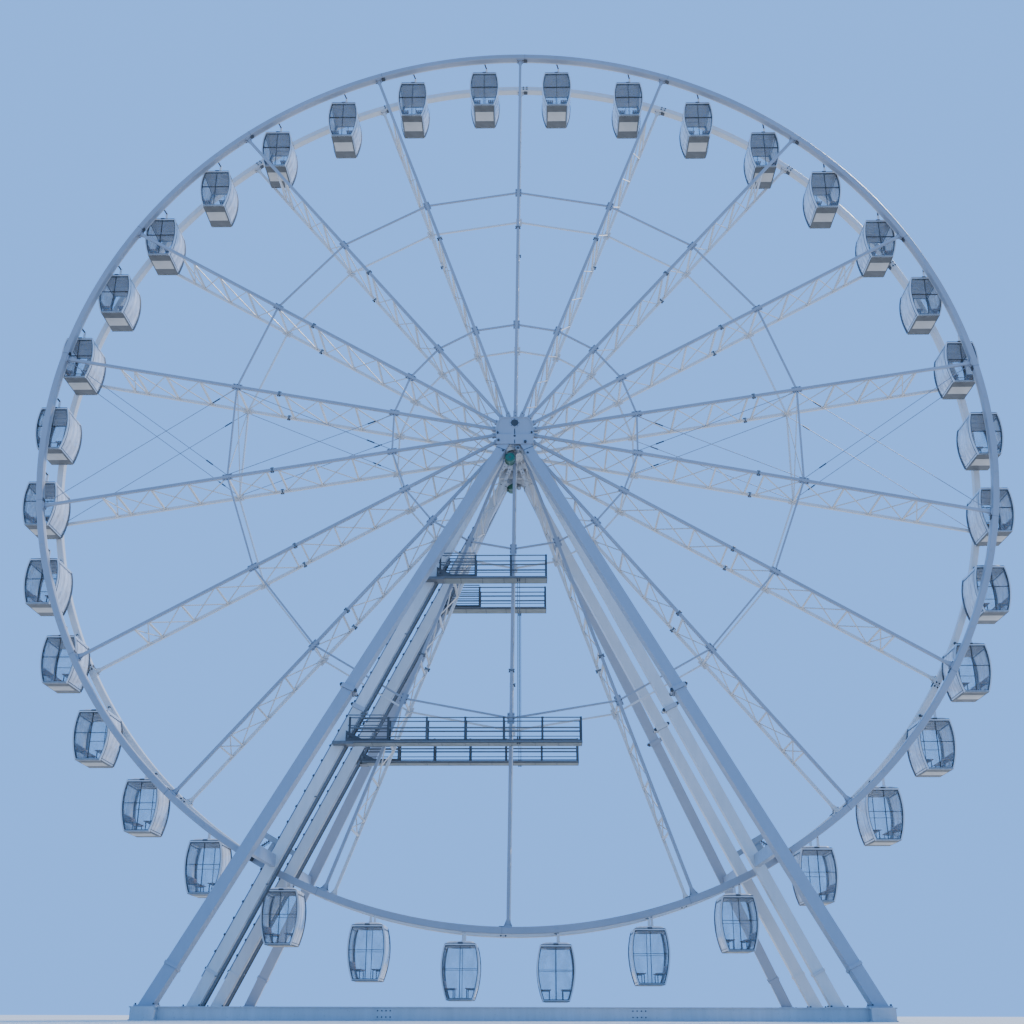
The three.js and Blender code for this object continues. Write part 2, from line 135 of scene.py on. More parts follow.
PANEL_FRONT = CABIN_HALF_DEPTH * (-1 + 0.29 * 2)
PANEL_REAR = CABIN_HALF_DEPTH * (1 - 0.33 * 2)
PANEL_HALF = (PANEL_REAR - PANEL_FRONT) / 2
SEAT_TOP = CABIN_BOTTOM + 0.26
BACK_TOP = -1.08
BENCH_END = 0.43
SLAT = 0.045
SLAT_THICKNESS = 0.018

# Rounded rectangles, as half widths along X and Y, corner radius and height over the roof or floor.
ROOF = (
    (0.366, 0.515, 0.05, -0.045), (0.357, 0.518, 0.05, -0.012), (0.345, 0.512, 0.06, 0.004),
    (0.318, 0.485, 0.07, 0.01), (0.305, 0.472, 0.08, 0.03), (0.278, 0.445, 0.09, 0.046),
    (0.233, 0.40, 0.1, 0.054),
)
CEILING = ((0.350, 0.47, 0.03, -0.046), (0.338, 0.46, 0.03, -0.062), (0.278, 0.40, 0.03, -0.068))
FLOOR_PAN = ((0.300, 0.529, 0.02, 0.022), (0.300, 0.529, 0.02, 0.008), (0.292, 0.522, 0.02, 0.0))
FLOOR_PANEL = (
    (0.262, PANEL_HALF, 0.012, 0.01), (0.262, PANEL_HALF, 0.012, -0.006),
    (0.252, PANEL_HALF - 0.01, 0.012, -0.011),
)

LEG_LEAN = 0.503
LEG_X = -0.035
INNER_LEG_Y = 1.084
OUTER_LEG_Y = 1.034
OUTER_SPREAD = 0.2546
LEG_SIZE = 0.25
LEG_TOP_DROP = 0.6
COLLAR_DROP = 7.27
COLLAR_THICKNESS = 0.09
COLLAR_SIZE = 0.31
BASE_HEIGHT = 0.25
BASE_DROP = HUB.z - BASE_HEIGHT
BASE_END_Y = 4.85
CABLE_DROPS = (1.5, 13.3)
CLAMPS = 34

HEAD_FACE_Y = 1.298
HEAD_FOOT_Y = 1.34
HEAD_BOTTOM = -0.6
HEAD_RADIUS = 0.48
HEAD_CENTRE = -0.172
FRONT_MOTOR_DROP = 0.95
REAR_MOTOR_DROP = 0.745
ARCH_DROP = 0.95
ARCH_HEIGHT = 0.25
# Where each pin of a head stands, with z from the hub, and its radius.
HEAD_PINS = (
    (-0.43, HEAD_FACE_Y, -0.27, 0.026), (-0.41, HEAD_FOOT_Y, -0.5, 0.03), (-0.29, 1.355, -0.8, 0.03),
    (0.43, HEAD_FACE_Y, -0.27, 0.026), (0.27, HEAD_FOOT_Y, -0.55, 0.038), (0.33, 1.365, -0.87, 0.03),
)
PORT_RING = ((0.12, 0), (0.12, 0.012), (0.098, 0.018), (0.098, 0.004))
PORT = ((0.098, 0), (0.098, 0.01), (0.03, 0.012))
MOTOR = ((0.09, 0), (0.115, 0.01), (0.115, 0.19), (0.128, 0.195), (0.128, 0.285), (0.11, 0.3))
GEARBOX = ((0.062, -0.12), (0.062, 0.1), (0.05, 0.11), (0.05, 0.115))

WALK_INNER_Y = 1.0
WALK_OUTER_Y = 1.45
WALKS = ((4.17, 0.786), (8.15, 1.558))
DECK = 0.04
DECK_SETBACK = 0.245
RAIL_HEIGHT = 0.55
MIDDLE_RAIL = RAIL_HEIGHT * 0.56
LOW_RAIL = 0.1
RAIL = 0.024
TUBE_RAIL = 0.011
POST = 0.04
POST_SPACING = 0.92
PANEL_SPACING = 0.56
LANDING_STEP = 0.05
LIFELINE_X = 0.1
LADDER_STANDOFF = 0.205
LADDER_Y = (1.01, 1.21)
LADDER_TOP_DROP = 3.62
LADDER_STEP = 0.16
RUNGS_PER_STAY = 12

DRIVE_ANGLE = math.radians(180 - 29.6)
TYRE_RADIUS = 0.19
TYRE_HALF_WIDTH = 0.06
TYRE_Y = RIM_Y + RIM_HALF_DEPTH + 0.006 + TYRE_RADIUS
TYRE_TOP = RIM_RADIUS - TYRE_HALF_WIDTH
WHEEL_DISC = ((0.125, -0.004), (0.125, 0.006), (0.1, 0.01), (0.05, 0.012), (0.045, 0.03))
GEARBOX_COVER = ((0.1, 0), (0.1, 0.03), (0.085, 0.045), (0.085, 0.05))
ARM_REACH = 0.64
ARM_Z = TYRE_TOP - 0.52
ARM_Y = (0.99, 1.16)
SPRING_RADIUS = 0.045
SPRING_COILS = 7

IMAGE_SIZE = 1024
FOCAL_PIXELS = 1249.9
SENSOR = 36.0
CAMERA_PLACE = Vector((0.421, -29.98, 0.104))
CAMERA_YAW = -0.0169
CAMERA_PITCH = 0.3828
CAMERA_ROLL = 0.0019
VIEW_REACH = 500.0
FLOOR_RADIUS = 260.0
WORLD_COLOR = (0.145, 0.375, 0.92, 1)
WORLD_STRENGTH = 1.65
SUN_COLOR = (1.0, 0.93, 0.84)
SUN_ENERGY = 3.2
SUN_ANGLE = math.radians(8.0)
SUN_TOWARD = Vector((-0.45, -0.5, -0.72))

BLACK = (0, 0, 0, 1)
DIRT = (0.23, 0.20, 0.16, 1)
RUST = (0.19, 0.115, 0.07, 1)
DUST = (0.34, 0.33, 0.31, 1)
DRY_WOOD = (0.36, 0.29, 0.22, 1)
# The slots of the finishes that go by another name than their slot.
OTHER_SLOTS = {
    "brace_paint_lit": "wheel_paint",
    "cabin_ceiling": "floor_panel",
    "walkway_panels": "galvanised_steel",
    "floor_pan": "dark_trim",
    "cabin_side_glass": "cabin_glass",
}


def wheel_point(angle, radius, y):
    """A point of the wheel at an angle from the top, clockwise seen from the front."""
    return HUB + outward_at(angle) * radius + Y_AXIS * y


def tangent_at(angle):
    turn = angle + WHEEL_TURN
    return Vector((math.cos(turn), 0, -math.sin(turn)))


def outward_at(angle):
    turn = angle + WHEEL_TURN
    return Vector((math.sin(turn), 0, math.cos(turn)))


def chord_y(radius):
    share = (radius - HUB_FLANGE) / (RIM_RADIUS - HUB_FLANGE)
    return CHORD_HUB_Y + share * (RIM_Y - CHORD_HUB_Y)


def stretch(side, near, far):
    """Two distances from the middle, as places on one side of it, the lower one first."""
    return sorted((side * near, side * far))


def section(width, height, chamfer):
    """Corners of a bar's section, counter-clockwise, with its corners cut where a chamfer is given."""
    w = width / 2
    h = height / 2
    if chamfer == 0:
        return [(w, -h), (w, h), (-w, h), (-w, -h)]
    c = chamfer
    return [
        (w, c - h), (w, h - c), (w - c, h), (c - w, h),
        (-w, h - c), (-w, c - h), (c - w, -h), (w - c, -h),
    ]


def square_axes(along, side):
    up = along.cross(side).normalized()
    return up.cross(along).normalized(), up


def circle(radius, facets):
    steps = [FULL_TURN * i / facets for i in range(facets)]
    return [(radius * math.cos(a), radius * math.sin(a)) for a in steps]


class Shape:
    """The faces of one piece, as closed solids that may stand apart."""

    def __init__(self):
        self.points = []
        self.faces = []

    def add(self, points, faces):
        first = len(self.points)
        self.points.extend(Vector(point) for point in points)
        self.faces.extend([first + i for i in face] for face in faces)

    def loft(self, rings, closed=False):
        """Joins rings of the same count; an open loft gets flat ends."""
        count = len(rings[0])
        points = [point for ring in rings for point in ring]
        faces = []
        spans = len(rings) if closed else len(rings) - 1
        for i in range(spans):
            low = i * count
            high = ((i + 1) % len(rings)) * count
            for j in range(count):
                k = (j + 1) % count
                faces.append([low + j, low + k, high + k, high + j])
        if not closed:
            faces.append(list(range(count))[::-1])
            faces.append([len(points) - count + j for j in range(count)])
        self.add(points, faces)

    def beam(self, start, end, width, height, side, chamfer=0.0):
        """A square bar; its width is measured along the side direction."""
        start = Vector(start)
        end = Vector(end)
        across, up = square_axes((end - start).normalized(), side)
        outline = section(width, height, chamfer)
        self.loft([[base + across * a + up * b for a, b in outline] for base in (start, end)])

    def block(self, centre, half, low, high, chamfer=0.0):
        """An upright box about a point of the plan; a chamfer cuts its edges along Z."""
        x, y = centre
        self.beam((x, y, low), (x, y, high), 2 * half[0], 2 * half[1], X_AXIS, chamfer)

    def box(self, low, high, chamfer=0.0):
        """An upright box between two corners."""
        spans = list(zip(low[:2], high[:2]))
        centre = [(a + b) / 2 for a, b in spans]
        self.block(centre, [(b - a) / 2 for a, b in spans], low[2], high[2], chamfer)

    def tube(self, start, end, radius, facets=8):
        reach = Vector(end) - Vector(start)
        self.turned(((radius, 0), (radius, reach.length)), start, reach, facets)

    def rod(self, path, radius, facets):
        """A round rod through points, with its section kept square to the path."""
        side = (path[1] - path[0]).orthogonal().normalized()
        rings = []
        for i, point in enumerate(path):
            before = path[max(i - 1, 0)]
            after = path[min(i + 1, len(path) - 1)]
            along = (after - before).normalized()
            side = (side - along * side.dot(along)).normalized()
            up = along.cross(side)
            rings.append([point + side * a + up * b for a, b in circle(radius, facets)])
        self.loft(rings)

    def turned(self, profile, origin, axis, facets=24):
        """A form turned about an axis from (radius, height) pairs, from one flat end to the other."""
        origin = Vector(origin)
        axis = Vector(axis).normalized()
        across, up = square_axes(axis, axis.orthogonal())
        rings = []
        for radius, height in profile:
            base = origin + axis * height
            rings.append([base + across * a + up * b for a, b in circle(radius, facets)])
        self.loft(rings)

    def bolt(self, centre, axis, radius, height):
        """A hexagon head with its top corners cut, standing up from centre along axis."""
        profile = ((radius, 0), (radius, height * 0.75), (radius * 0.82, height))
        self.turned(profile, centre, axis, 6)

    def gusset(self, corner, first, second, normal, thickness):
        """A triangular plate with its thickness along normal."""
        half = normal.normalized() * thickness / 2
        self.loft([[point + shift for point in (corner, first, second)] for shift in (-half, half)])

    def prism(self, outline, low, high):
        """An outline of (x, z) points made thick along Y."""
        self.loft([[Vector((x, y, z)) for x, z in outline] for y in (low, high)])

    def band(self, outer, inner, low, high):
        """The closed band between two outlines of (x, z) points, thick along Y."""
        rings = []
        for outline, y in ((outer, low), (outer, high), (inner, high), (inner, low)):
            rings.append([Vector((x, y, z)) for x, z in outline])
        self.loft(rings, closed=True)

    def moved(self, matrix):
        self.points = [matrix @ point for point in self.points]
        return self

    def join(self, other):
        self.add(other.points, other.faces)
        return self

    def mirrored(self, x=1, y=1):
        """Its mirror image, where x or y is -1."""
        other = Shape()
        other.add([(x * p.x, y * p.y, p.z) for p in self.points], self.faces)
        return other

    def both_ends(self):
        """The shape and its mirror image at the other end of the axle."""
        return Shape().join(self).join(self.mirrored(y=-1))

    def mesh(self, name):
        """The finished mesh, with its normals outward and its hard edges kept."""
        mesh = bpy.data.meshes.new(name)
        work = bmesh.new()
        verts = [work.verts.new(point) for point in self.points]
        for face in self.faces:
            work.faces.new([verts[i] for i in face])
        bmesh.ops.recalc_face_normals(work, faces=work.faces)
        work.to_mesh(mesh)
        work.free()
        mesh.shade_smooth()
        mesh.set_sharp_from_angle(angle=CREASE)
        return mesh


def shapes(count):
    return [Shape() for _ in range(count)]


def put(name, mesh, finish, body, place=None):
    """Makes one piece of a mesh, gives it its finish and lets it ride on a body."""
    material, slot = finish
    if not mesh.materials:
        mesh.materials.append(material)
    piece = bpy.data.objects.new(name, mesh)
    bpy.context.scene.collection.objects.link(piece)
    if place is not None:
        piece.location = place
    bpy.context.view_layer.update()
    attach(piece, body)
    return piece


def put_all(body, *pieces):
    for name, shape, finish in pieces:
        put(name, shape.mesh(name), finish, body)


class Nodes:
    """Short ways to add and link shader nodes."""

    def __init__(self, name):
        self.name = name
        self.material = bpy.data.materials.new(name)
        self.material.use_nodes = True
        self.tree = self.material.node_tree
        self.shader = self.tree.nodes["Principled BSDF"]
        self.coordinates = self.add("ShaderNodeTexCoord").outputs["Object"]

    def add(self, kind, inputs=None, **values):
        node = self.tree.nodes.new(kind)
        for key, value in values.items():
            setattr(node, key, value)
        self.feed(node, inputs or {})
        return node

    def feed(self, node, inputs):
        """Gives each named input a value or links another node's output to it."""
        for key, source in inputs.items():
            if isinstance(source, bpy.types.NodeSocket):
                self.tree.links.new(source, node.inputs[key])
            else:
                node.inputs[key].default_value = source

    def noise(self, scale, detail=4.0, stretching=(1, 1, 1), roughness=0.55):
        mapping = self.add("ShaderNodeMapping", {"Vector": self.coordinates, "Scale": stretching})
        values = {"Scale": scale, "Detail": detail, "Roughness": roughness}
        return self.add("ShaderNodeTexNoise", {"Vector": mapping.outputs["Vector"], **values}).outputs["Fac"]

    def ramp(self, source, *stops):
        node = self.add("ShaderNodeValToRGB", {"Fac": source})
        elements = node.color_ramp.elements
        for element, (place, color) in zip(elements, (stops[0], stops[-1])):
            element.position = place
            element.color = color
        for place, color in stops[1:-1]:
            elements.new(place).color = color
        return node.outputs["Color"]

    def map_range(self, source, start, stop, low, high):
        values = {"From Min": start, "From Max": stop, "To Min": low, "To Max": high}
        return self.add("ShaderNodeMapRange", {"Value": source, **values}).outputs["Result"]

    def span(self, source, low, high):
        """Spreads the middle of a noise over a range of values."""
        return self.map_range(source, 0.3, 0.7, low, high)

    def along_axle(self, start, stop, at_both_ends):
        """Rises from 0 to 1 between two places along the axle, or at both ends of it; it places the painted light
        and shade.
        """
        source = self.add("ShaderNodeSeparateXYZ", {0: self.coordinates}).outputs["Y"]
        if at_both_ends:
            source = self.add("ShaderNodeMath", {0: source}, operation="ABSOLUTE").outputs[0]
        return self.map_range(source, start, stop, 0, 1)

    def mix(self, share, first, second):
        inputs = {0: share, 6: first, 7: second}
        return self.add("ShaderNodeMix", inputs, data_type="RGBA", blend_type="MIX").outputs[2]

    def finish(self, color, roughness, bump, **others):
        """Feeds the surface, with bump as noise, strength and distance; gives the material and its slot."""
        height, strength, distance = bump
        values = {"Height": height, "Strength": strength, "Distance": distance}
        normal = self.add("ShaderNodeBump", values).outputs["Normal"]
        self.feed(self.shader, {"Base Color": color, "Roughness": roughness, "Normal": normal})
        self.feed(self.shader, {key.replace("_", " "): value for key, value in others.items()})
        return self.material, OTHER_SLOTS.get(self.name, self.name)


def shade(color, factor):
    return tuple(min(channel * factor, 1.0) for channel in color[:3]) + (1.0,)


def grey(value):
    return (value, value, value, 1)


def painted(name, color, roughness, grime=0.35, cloud=0.5, coat=0.0, metallic=0.0, second=None):
    """Weathered paint: cloudy tone, rain streaks, chips of dirt, uneven gloss and a fine orange peel.

    A second colour that paints light and shade by place along the axle comes with where along the axle it begins
    and is full, and whether at both ends.
    """
    nodes = Nodes(name)
    tones = (0.3, shade(color, 0.9)), (0.55, shade(color, 1.0)), (0.72, shade(color, 1.06))
    base = nodes.ramp(nodes.noise(cloud), *tones)
    # Painted light and shade: past a place along the axle the paint turns to the second colour.
    if second:
        other, start, stop, at_both_ends = second
        base = nodes.mix(nodes.along_axle(start, stop, at_both_ends), base, other + (1.0,))
    streaks = nodes.noise(2.4, 6.0, (3.0, 3.0, 0.35), 0.62)
    stained = nodes.mix(nodes.span(streaks, 0.0, grime * 0.45), base, DIRT)
    specks = nodes.ramp(nodes.noise(38.0, 3.0), (0.66, BLACK), (0.74, grey(grime)))
    return nodes.finish(
        nodes.mix(specks, stained, shade(DIRT, 0.8)),
        nodes.span(nodes.noise(5.0, 5.0), roughness * 0.8, roughness * 1.25),
        (nodes.noise(120.0, 2.0), 0.12, 0.002),
        Metallic=metallic, Coat_Weight=coat, Coat_Roughness=0.2,
    )


def metal(name, color, roughness, rust=0.12):
    """Zinc-coated steel: grey spangle, darker stains and a little rust in the pits."""
    nodes = Nodes(name)
    spangle = nodes.add("ShaderNodeTexVoronoi", {"Vector": nodes.coordinates, "Scale": 45.0})
    base = nodes.ramp(spangle.outputs["Distance"], (0.0, shade(color, 0.86)), (0.9, shade(color, 1.12)))
    stains = nodes.ramp(nodes.noise(3.5, 6.0, (1.0, 1.0, 0.5)), (0.52, BLACK), (0.75, grey(rust * 3)))
    return nodes.finish(
        nodes.mix(stains, base, RUST),
        nodes.span(nodes.noise(9.0, 4.0), roughness * 0.8, roughness * 1.2),
        (nodes.noise(70.0, 3.0), 0.15, 0.002),
        Metallic=0.35,
    )


def moulded(name, color, roughness, grain=160.0):
    """Dull dark trim or rubber: slight fading, dust in the grain and a fine grained surface."""
    nodes = Nodes(name)
    base = nodes.ramp(nodes.noise(4.0, 5.0), (0.32, shade(color, 0.8)), (0.7, shade(color, 1.3)))
    dust = nodes.ramp(nodes.noise(1.6, 6.0, (1, 1, 0.6)), (0.5, BLACK), (0.8, grey(0.22)))
    return nodes.finish(
        nodes.mix(dust, base, DUST),
        nodes.span(nodes.noise(14.0, 3.0), roughness * 0.85, roughness * 1.15),
        (nodes.noise(grain, 2.0), 0.25, 0.0015),
    )


def glazing(name, color, clear, cloudy, streak=1.0):
    """Acrylic glazing: faint washing marks, upright streaks that are more cloudy, and hardly rough."""
    nodes = Nodes(name)
    marks = nodes.noise(2.2, 4.0, (1, 1, 0.45))
    return nodes.finish(
        nodes.ramp(marks, (0.35, shade(color, 0.88)), (0.7, shade(color, 1.12))),
        nodes.span(nodes.noise(6.0, 5.0, (1, 1, 0.3)), 0.04, 0.16),
        (nodes.noise(1.3, 2.0), 0.08, 0.01),
        Alpha=nodes.span(nodes.noise(5.0, 3.0, (streak, streak, 0.5)), clear, cloudy),
        IOR=1.5, Specular_IOR_Level=0.45,
    )


def timber(name, color):
    """Oiled slats: grain along the slat, darker growth rings, dry worn patches and fine open pores."""
    nodes = Nodes(name)
    rings = nodes.noise(9.0, 6.0, (2.0, 0.25, 2.0), 0.65)
    base = nodes.ramp(rings, (0.3, shade(color, 0.6)), (0.5, shade(color, 1.0)), (0.7, shade(color, 1.35)))
    worn = nodes.ramp(nodes.noise(3.0, 4.0), (0.55, BLACK), (0.8, grey(0.3)))
    return nodes.finish(
        nodes.mix(worn, base, DRY_WOOD),
        nodes.span(nodes.noise(11.0, 4.0), 0.42, 0.62),
        (nodes.noise(60.0, 3.0, (2.0, 0.2, 2.0)), 0.3, 0.002),
    )


# Painted light and shade: the wheel's paint is dark blue-grey as painted shade at the front, 0.655 m or more ahead
# of the middle, and pale cream as painted light from 0.6 m ahead of the middle back.
WHEEL_PAINT_SHADED_FRONT = painted("wheel_paint", (0.36, 0.37, 0.40), 0.38, grime=0.2,
                      second=((0.70, 0.67, 0.63), -0.655, -0.6, False))
# Painted light: the bracing takes a paler cream copy of the wheel's own paint, standing for the light bounced up
# onto it.
BRACE_PAINT_LIT = painted("brace_paint_lit", (0.66, 0.62, 0.56), 0.42, grime=0.3)
# Painted shade: the tower's paint turns dark grey-blue beyond 1.25 m from the middle at both ends, where the outer
# legs and the heads stand.
LEG_PAINT_SHADED_OUTSIDE = painted("tower_paint", (0.70, 0.68, 0.65), 0.36, grime=0.25, coat=0.15,
                    second=((0.36, 0.38, 0.42), 1.215, 1.25, True))
BASE_PAINT = painted("base_paint", (0.50, 0.52, 0.54), 0.5, grime=0.55)
CABIN_PAINT = painted("cabin_paint", (0.66, 0.68, 0.70), 0.28, grime=0.2, cloud=1.4, coat=0.35)
PANEL_PAINT = painted("floor_panel", (0.62, 0.57, 0.49), 0.5, grime=0.3, cloud=1.6)
CEILING_PAINT = painted("cabin_ceiling", (0.32, 0.30, 0.28), 0.45, grime=0.2, cloud=1.6)
DRIVE_PAINT = painted("drive_steel", (0.34, 0.36, 0.38), 0.5, grime=0.6, metallic=0.2)
DECK_PAINT = painted("walkway_panels", (0.22, 0.23, 0.20), 0.6, grime=0.5, cloud=1.2)
GREEN_PAINT = painted("motor_green", (0.012, 0.12, 0.06), 0.35, grime=0.4, coat=0.3)
GALVANISED = metal("galvanised_steel", (0.17, 0.17, 0.165), 0.5)
BOLT = metal("bolt_steel", (0.05, 0.055, 0.06), 0.42, rust=0.18)
CABLE = metal("cable_steel", (0.26, 0.28, 0.31), 0.4)
TRIM = moulded("dark_trim", (0.055, 0.055, 0.053), 0.5)
PAN = moulded("floor_pan", (0.10, 0.095, 0.08), 0.5)
RUBBER = moulded("tyre_rubber", (0.028, 0.028, 0.03), 0.75, 90.0)
WINDOW = glazing("cabin_glass", (0.50, 0.56, 0.60), 0.08, 0.22)
SIDE_WINDOW = glazing("cabin_side_glass", (0.86, 0.87, 0.89), 0.4, 0.92, 1.6)
SEATING = timber("bench_wood", (0.26, 0.13, 0.06))


def paint_frame():
    """Gives each CAD node that shows the finish of its slot."""
    finishes = (WHEEL_PAINT_SHADED_FRONT, LEG_PAINT_SHADED_OUTSIDE, BASE_PAINT, GALVANISED, DRIVE_PAINT, CABIN_PAINT)
    materials = {slot: material for material, slot in finishes}
    for part in frame["record"]["subparts"]:
        for holder in frame["nodes"][part["node"]].material_slots:
            holder.material = materials[part["material_slot"]]


def rim_ring(side):
    """A rim: a box section bent to a circle, with its long edges cut."""
    shape = Shape()
    outline = section(2 * RIM_HALF_DEPTH, 2 * RIM_HALF_HEIGHT, RIM_CHAMFER)
    rings = []
    for i in range(RIM_STEPS):
        angle = FULL_TURN * i / RIM_STEPS
        rings.append([wheel_point(angle, RIM_RADIUS + b, side * RIM_Y + a) for a, b in outline])
    shape.loft(rings, closed=True)
    return shape


def rims():
    seams, fittings, bolts = shapes(3)
    for side, end in ((-1, "front"), (1, "rear")):
        ring = put(f"rim_skin_{end}", rim_ring(side).mesh("rim_skin"), WHEEL_PAINT_SHADED_FRONT, "wheel")
        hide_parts(f"rim_{end}")
        for i in range(SPOKES):
            spoke = FULL_TURN * i / SPOKES
            rim_joint(seams, bolts, spoke + RIM_JOINT_STEP, side)
            chord_shoe(fittings, bolts, spoke, side)
        for i in range(CABINS):
            rim_bearing(fittings, FULL_TURN * (i + 0.5) / CABINS, side)
    put_all("wheel", ("rim_seams", seams, TRIM), ("rim_fittings", fittings, WHEEL_PAINT_SHADED_FRONT),
            ("rim_bolts", bolts, BOLT))


def rim_joint(seams, bolts, angle, side):
    """The bolted joint of two rim lengths: a thin seam all round and a dark plate under it."""
    tangent = tangent_at(angle)
    low = wheel_point(angle, RIM_BOTTOM - SEAM_PROUD, side * RIM_Y)
    high = wheel_point(angle, RIM_RADIUS + RIM_HALF_HEIGHT + SEAM_PROUD, side * RIM_Y)
    seams.beam(low, high, SEAM_WIDTH, 2 * (RIM_HALF_DEPTH + SEAM_PROUD), tangent)
    under = wheel_point(angle, RIM_BOTTOM, side * RIM_Y)
    seams.beam(under, under - outward_at(angle) * 0.016, 0.15, 0.13, tangent, 0.02)
    for step in (-0.055, 0.055):
        for lift in (-0.038, 0.038):
            centre = wheel_point(angle, RIM_RADIUS + lift, side * (RIM_Y - RIM_HALF_DEPTH))
            bolts.bolt(centre + tangent * step, Y_AXIS * -side, *RIM_BOLT)


def chord_shoe(fittings, bolts, angle, side):
    """The shoe under a rim that a spoke's chord sits in."""
    tangent = tangent_at(angle)
    y = side * chord_y(RIM_RADIUS - 0.2)
    throat = wheel_point(angle, RIM_BOTTOM - SHOE_THICKNESS, y)
    tip = wheel_point(angle, RIM_BOTTOM - SHOE_REACH, y)
    fittings.beam(wheel_point(angle, RIM_BOTTOM, y), throat, 0.19, 0.17, tangent, 0.015)
    for step in (-1, 1):
        edge = tangent * step * CHORD / 2
        fittings.gusset(throat + edge, throat + tangent * step * 0.09, tip + edge, Y_AXIS, 0.014)
        for shift in (0.055, -0.055):
            place = throat + tangent * step * 0.075 + Y_AXIS * shift
            bolts.bolt(place, -outward_at(angle), *SHOE_BOLT)


def rim_bearing(fittings, angle, side):
    """The bearing housing on a rim's inner face, where a cabin's link turns, and its cap outside."""
    for face, profile in ((-1, BEARING), (1, BEARING_CAP)):
        centre = wheel_point(angle, RIM_RADIUS, side * (RIM_Y + face * RIM_HALF_DEPTH))
        fittings.turned(profile, centre, Y_AXIS * side * face, 20)


def spoke_bracing():
    """What each lattice spoke has between its two chords beside the rungs of the part."""
    bars, plates, splices, bolts = shapes(4)
    radii = [share * RIM_RADIUS for share in RUNG_SHARES]
    bays = list(zip([HUB_FLANGE + HUB_CLEAR] + radii[:-1], radii))
    for i in range(SPOKES):
        angle = FULL_TURN * i / SPOKES
        tangent = tangent_at(angle)
        for share, radius in zip(RUNG_SHARES, radii):
            if share not in CAD_RUNG_SHARES:
                front, rear = (wheel_point(angle, radius, side * chord_y(radius)) for side in (-1, 1))
                bars.beam(front, rear, RUNG, RUNG, tangent)
            rung_gussets(plates, angle, radius, tangent)
        for low, high in bays:
            if high - low > SHORTEST_CROSSING:
                crossing(bars, angle, low, high, tangent)
        splice(splices, bolts, angle, tangent)
        ring_nodes(plates, bolts, angle, tangent)
        hub_shoes(plates, bolts, angle, tangent)
    put_all("wheel", ("spoke_bracing", bars, BRACE_PAINT_LIT), ("spoke_gussets", plates, WHEEL_PAINT_SHADED_FRONT),
            ("spoke_splices", splices, GALVANISED), ("spoke_bolts", bolts, BOLT))


def crossing(bars, angle, low, high, tangent):
    """Two diagonals that pass each other between the front and the rear chord."""
    inset = CHORD / 2
    for sign in (-1, 1):
        shift = tangent * sign * BRACE_OFFSET
        start = wheel_point(angle, low, -sign * (chord_y(low) - inset)) + shift
        end = wheel_point(angle, high, sign * (chord_y(high) - inset)) + shift
        bars.tube(start, end, BRACE_RADIUS, 6)


def rung_gussets(plates, angle, radius, tangent):
    """Small corner plates where a rung meets the chords."""
    for side in (-1, 1):
        y = side * (chord_y(radius) - CHORD / 2)
        for step in (-1, 1):
            base = radius + step * RUNG / 2
            corner = wheel_point(angle, base, y)
            first = wheel_point(angle, base + step * GUSSET, y)
            second = wheel_point(angle, base, y - side * GUSSET)
            plates.gusset(corner, first, second, tangent, 0.01)


def splice(splices, bolts, angle, tangent):
    """The bolted flanges that join the two lengths of each chord."""
    outward = outward_at(angle)
    radius = SPLICE_SHARE * RIM_RADIUS
    for side in (-1, 1):
        centre = wheel_point(angle, radius, side * chord_y(radius))
        splices.beam(centre - outward * 0.02, centre + outward * 0.02, 0.13, 0.1, tangent, 0.012)
        for step in (-0.055, 0.055):
            bolts.turned(SPLICE_STUD, centre + tangent * step + outward * 0.045, -outward, 6)


def ring_nodes(plates, bolts, angle, tangent):
    """Lugs on the chords where the ring ties and the tie rods are pinned."""
    outward = outward_at(angle)
    for radius in (INNER_RING, OUTER_RING):
        for side in (-1, 1):
            centre = wheel_point(angle, radius, side * chord_y(radius))
            plates.beam(centre - outward * 0.13, centre + outward * 0.13, 0.17, 0.016, tangent)
            for step in (-0.068, 0.068):
                pin = centre + tangent * step + Y_AXIS * side * 0.008
                bolts.bolt(pin, Y_AXIS * side, *LUG_BOLT)
                for reach in (-0.085, 0.085):
                    bolts.bolt(pin + outward * reach, Y_AXIS * side, *LUG_END_BOLT)


def hub_shoes(plates, bolts, angle, tangent):
    """The forked shoe that holds each chord on the hub flange."""
    for side in (-1, 1):
        y = side * CHORD_HUB_Y
        for face in (-1, 1):
            centre = y + face * (CHORD / 2 + 0.018)
            start = wheel_point(angle, HUB_FLANGE - 0.1, centre)
            end = wheel_point(angle, HUB_FLANGE + 0.17, centre)
            plates.beam(start, end, 0.1, 0.02, tangent)
            for reach in (0.02, 0.12):
                place = wheel_point(angle, HUB_FLANGE + reach, centre + face * 0.01)
                bolts.bolt(place, Y_AXIS * face, *HUB_SHOE_BOLT)
        start = wheel_point(angle, HUB_FLANGE - 0.01, y)
        end = wheel_point(angle, HUB_FLANGE + 0.012, y)
        plates.beam(start, end, 0.12, 0.12, tangent, 0.01)


def ring_bracing():
    """Cross bars between the front and rear ring ties, and the thin tie rods in the two wheel planes."""
    bars, rods, buckles = shapes(3)
    for bay in TIED_BAYS:
        turns = (FULL_TURN * bay / SPOKES, FULL_TURN * (bay + 1) / SPOKES)
        for side in (-1, 1):
            rod_cross(rods, buckles, turns, OUTER_RING, RIM_RADIUS - 0.16, side)
            rod_cross(rods, buckles, turns, INNER_RING, OUTER_RING, side)
        tie_lattice(bars, turns)
    put_all("wheel", ("ring_bracing", bars, BRACE_PAINT_LIT), ("tie_rods", rods, CABLE),
            ("tie_buckles", buckles, BOLT))


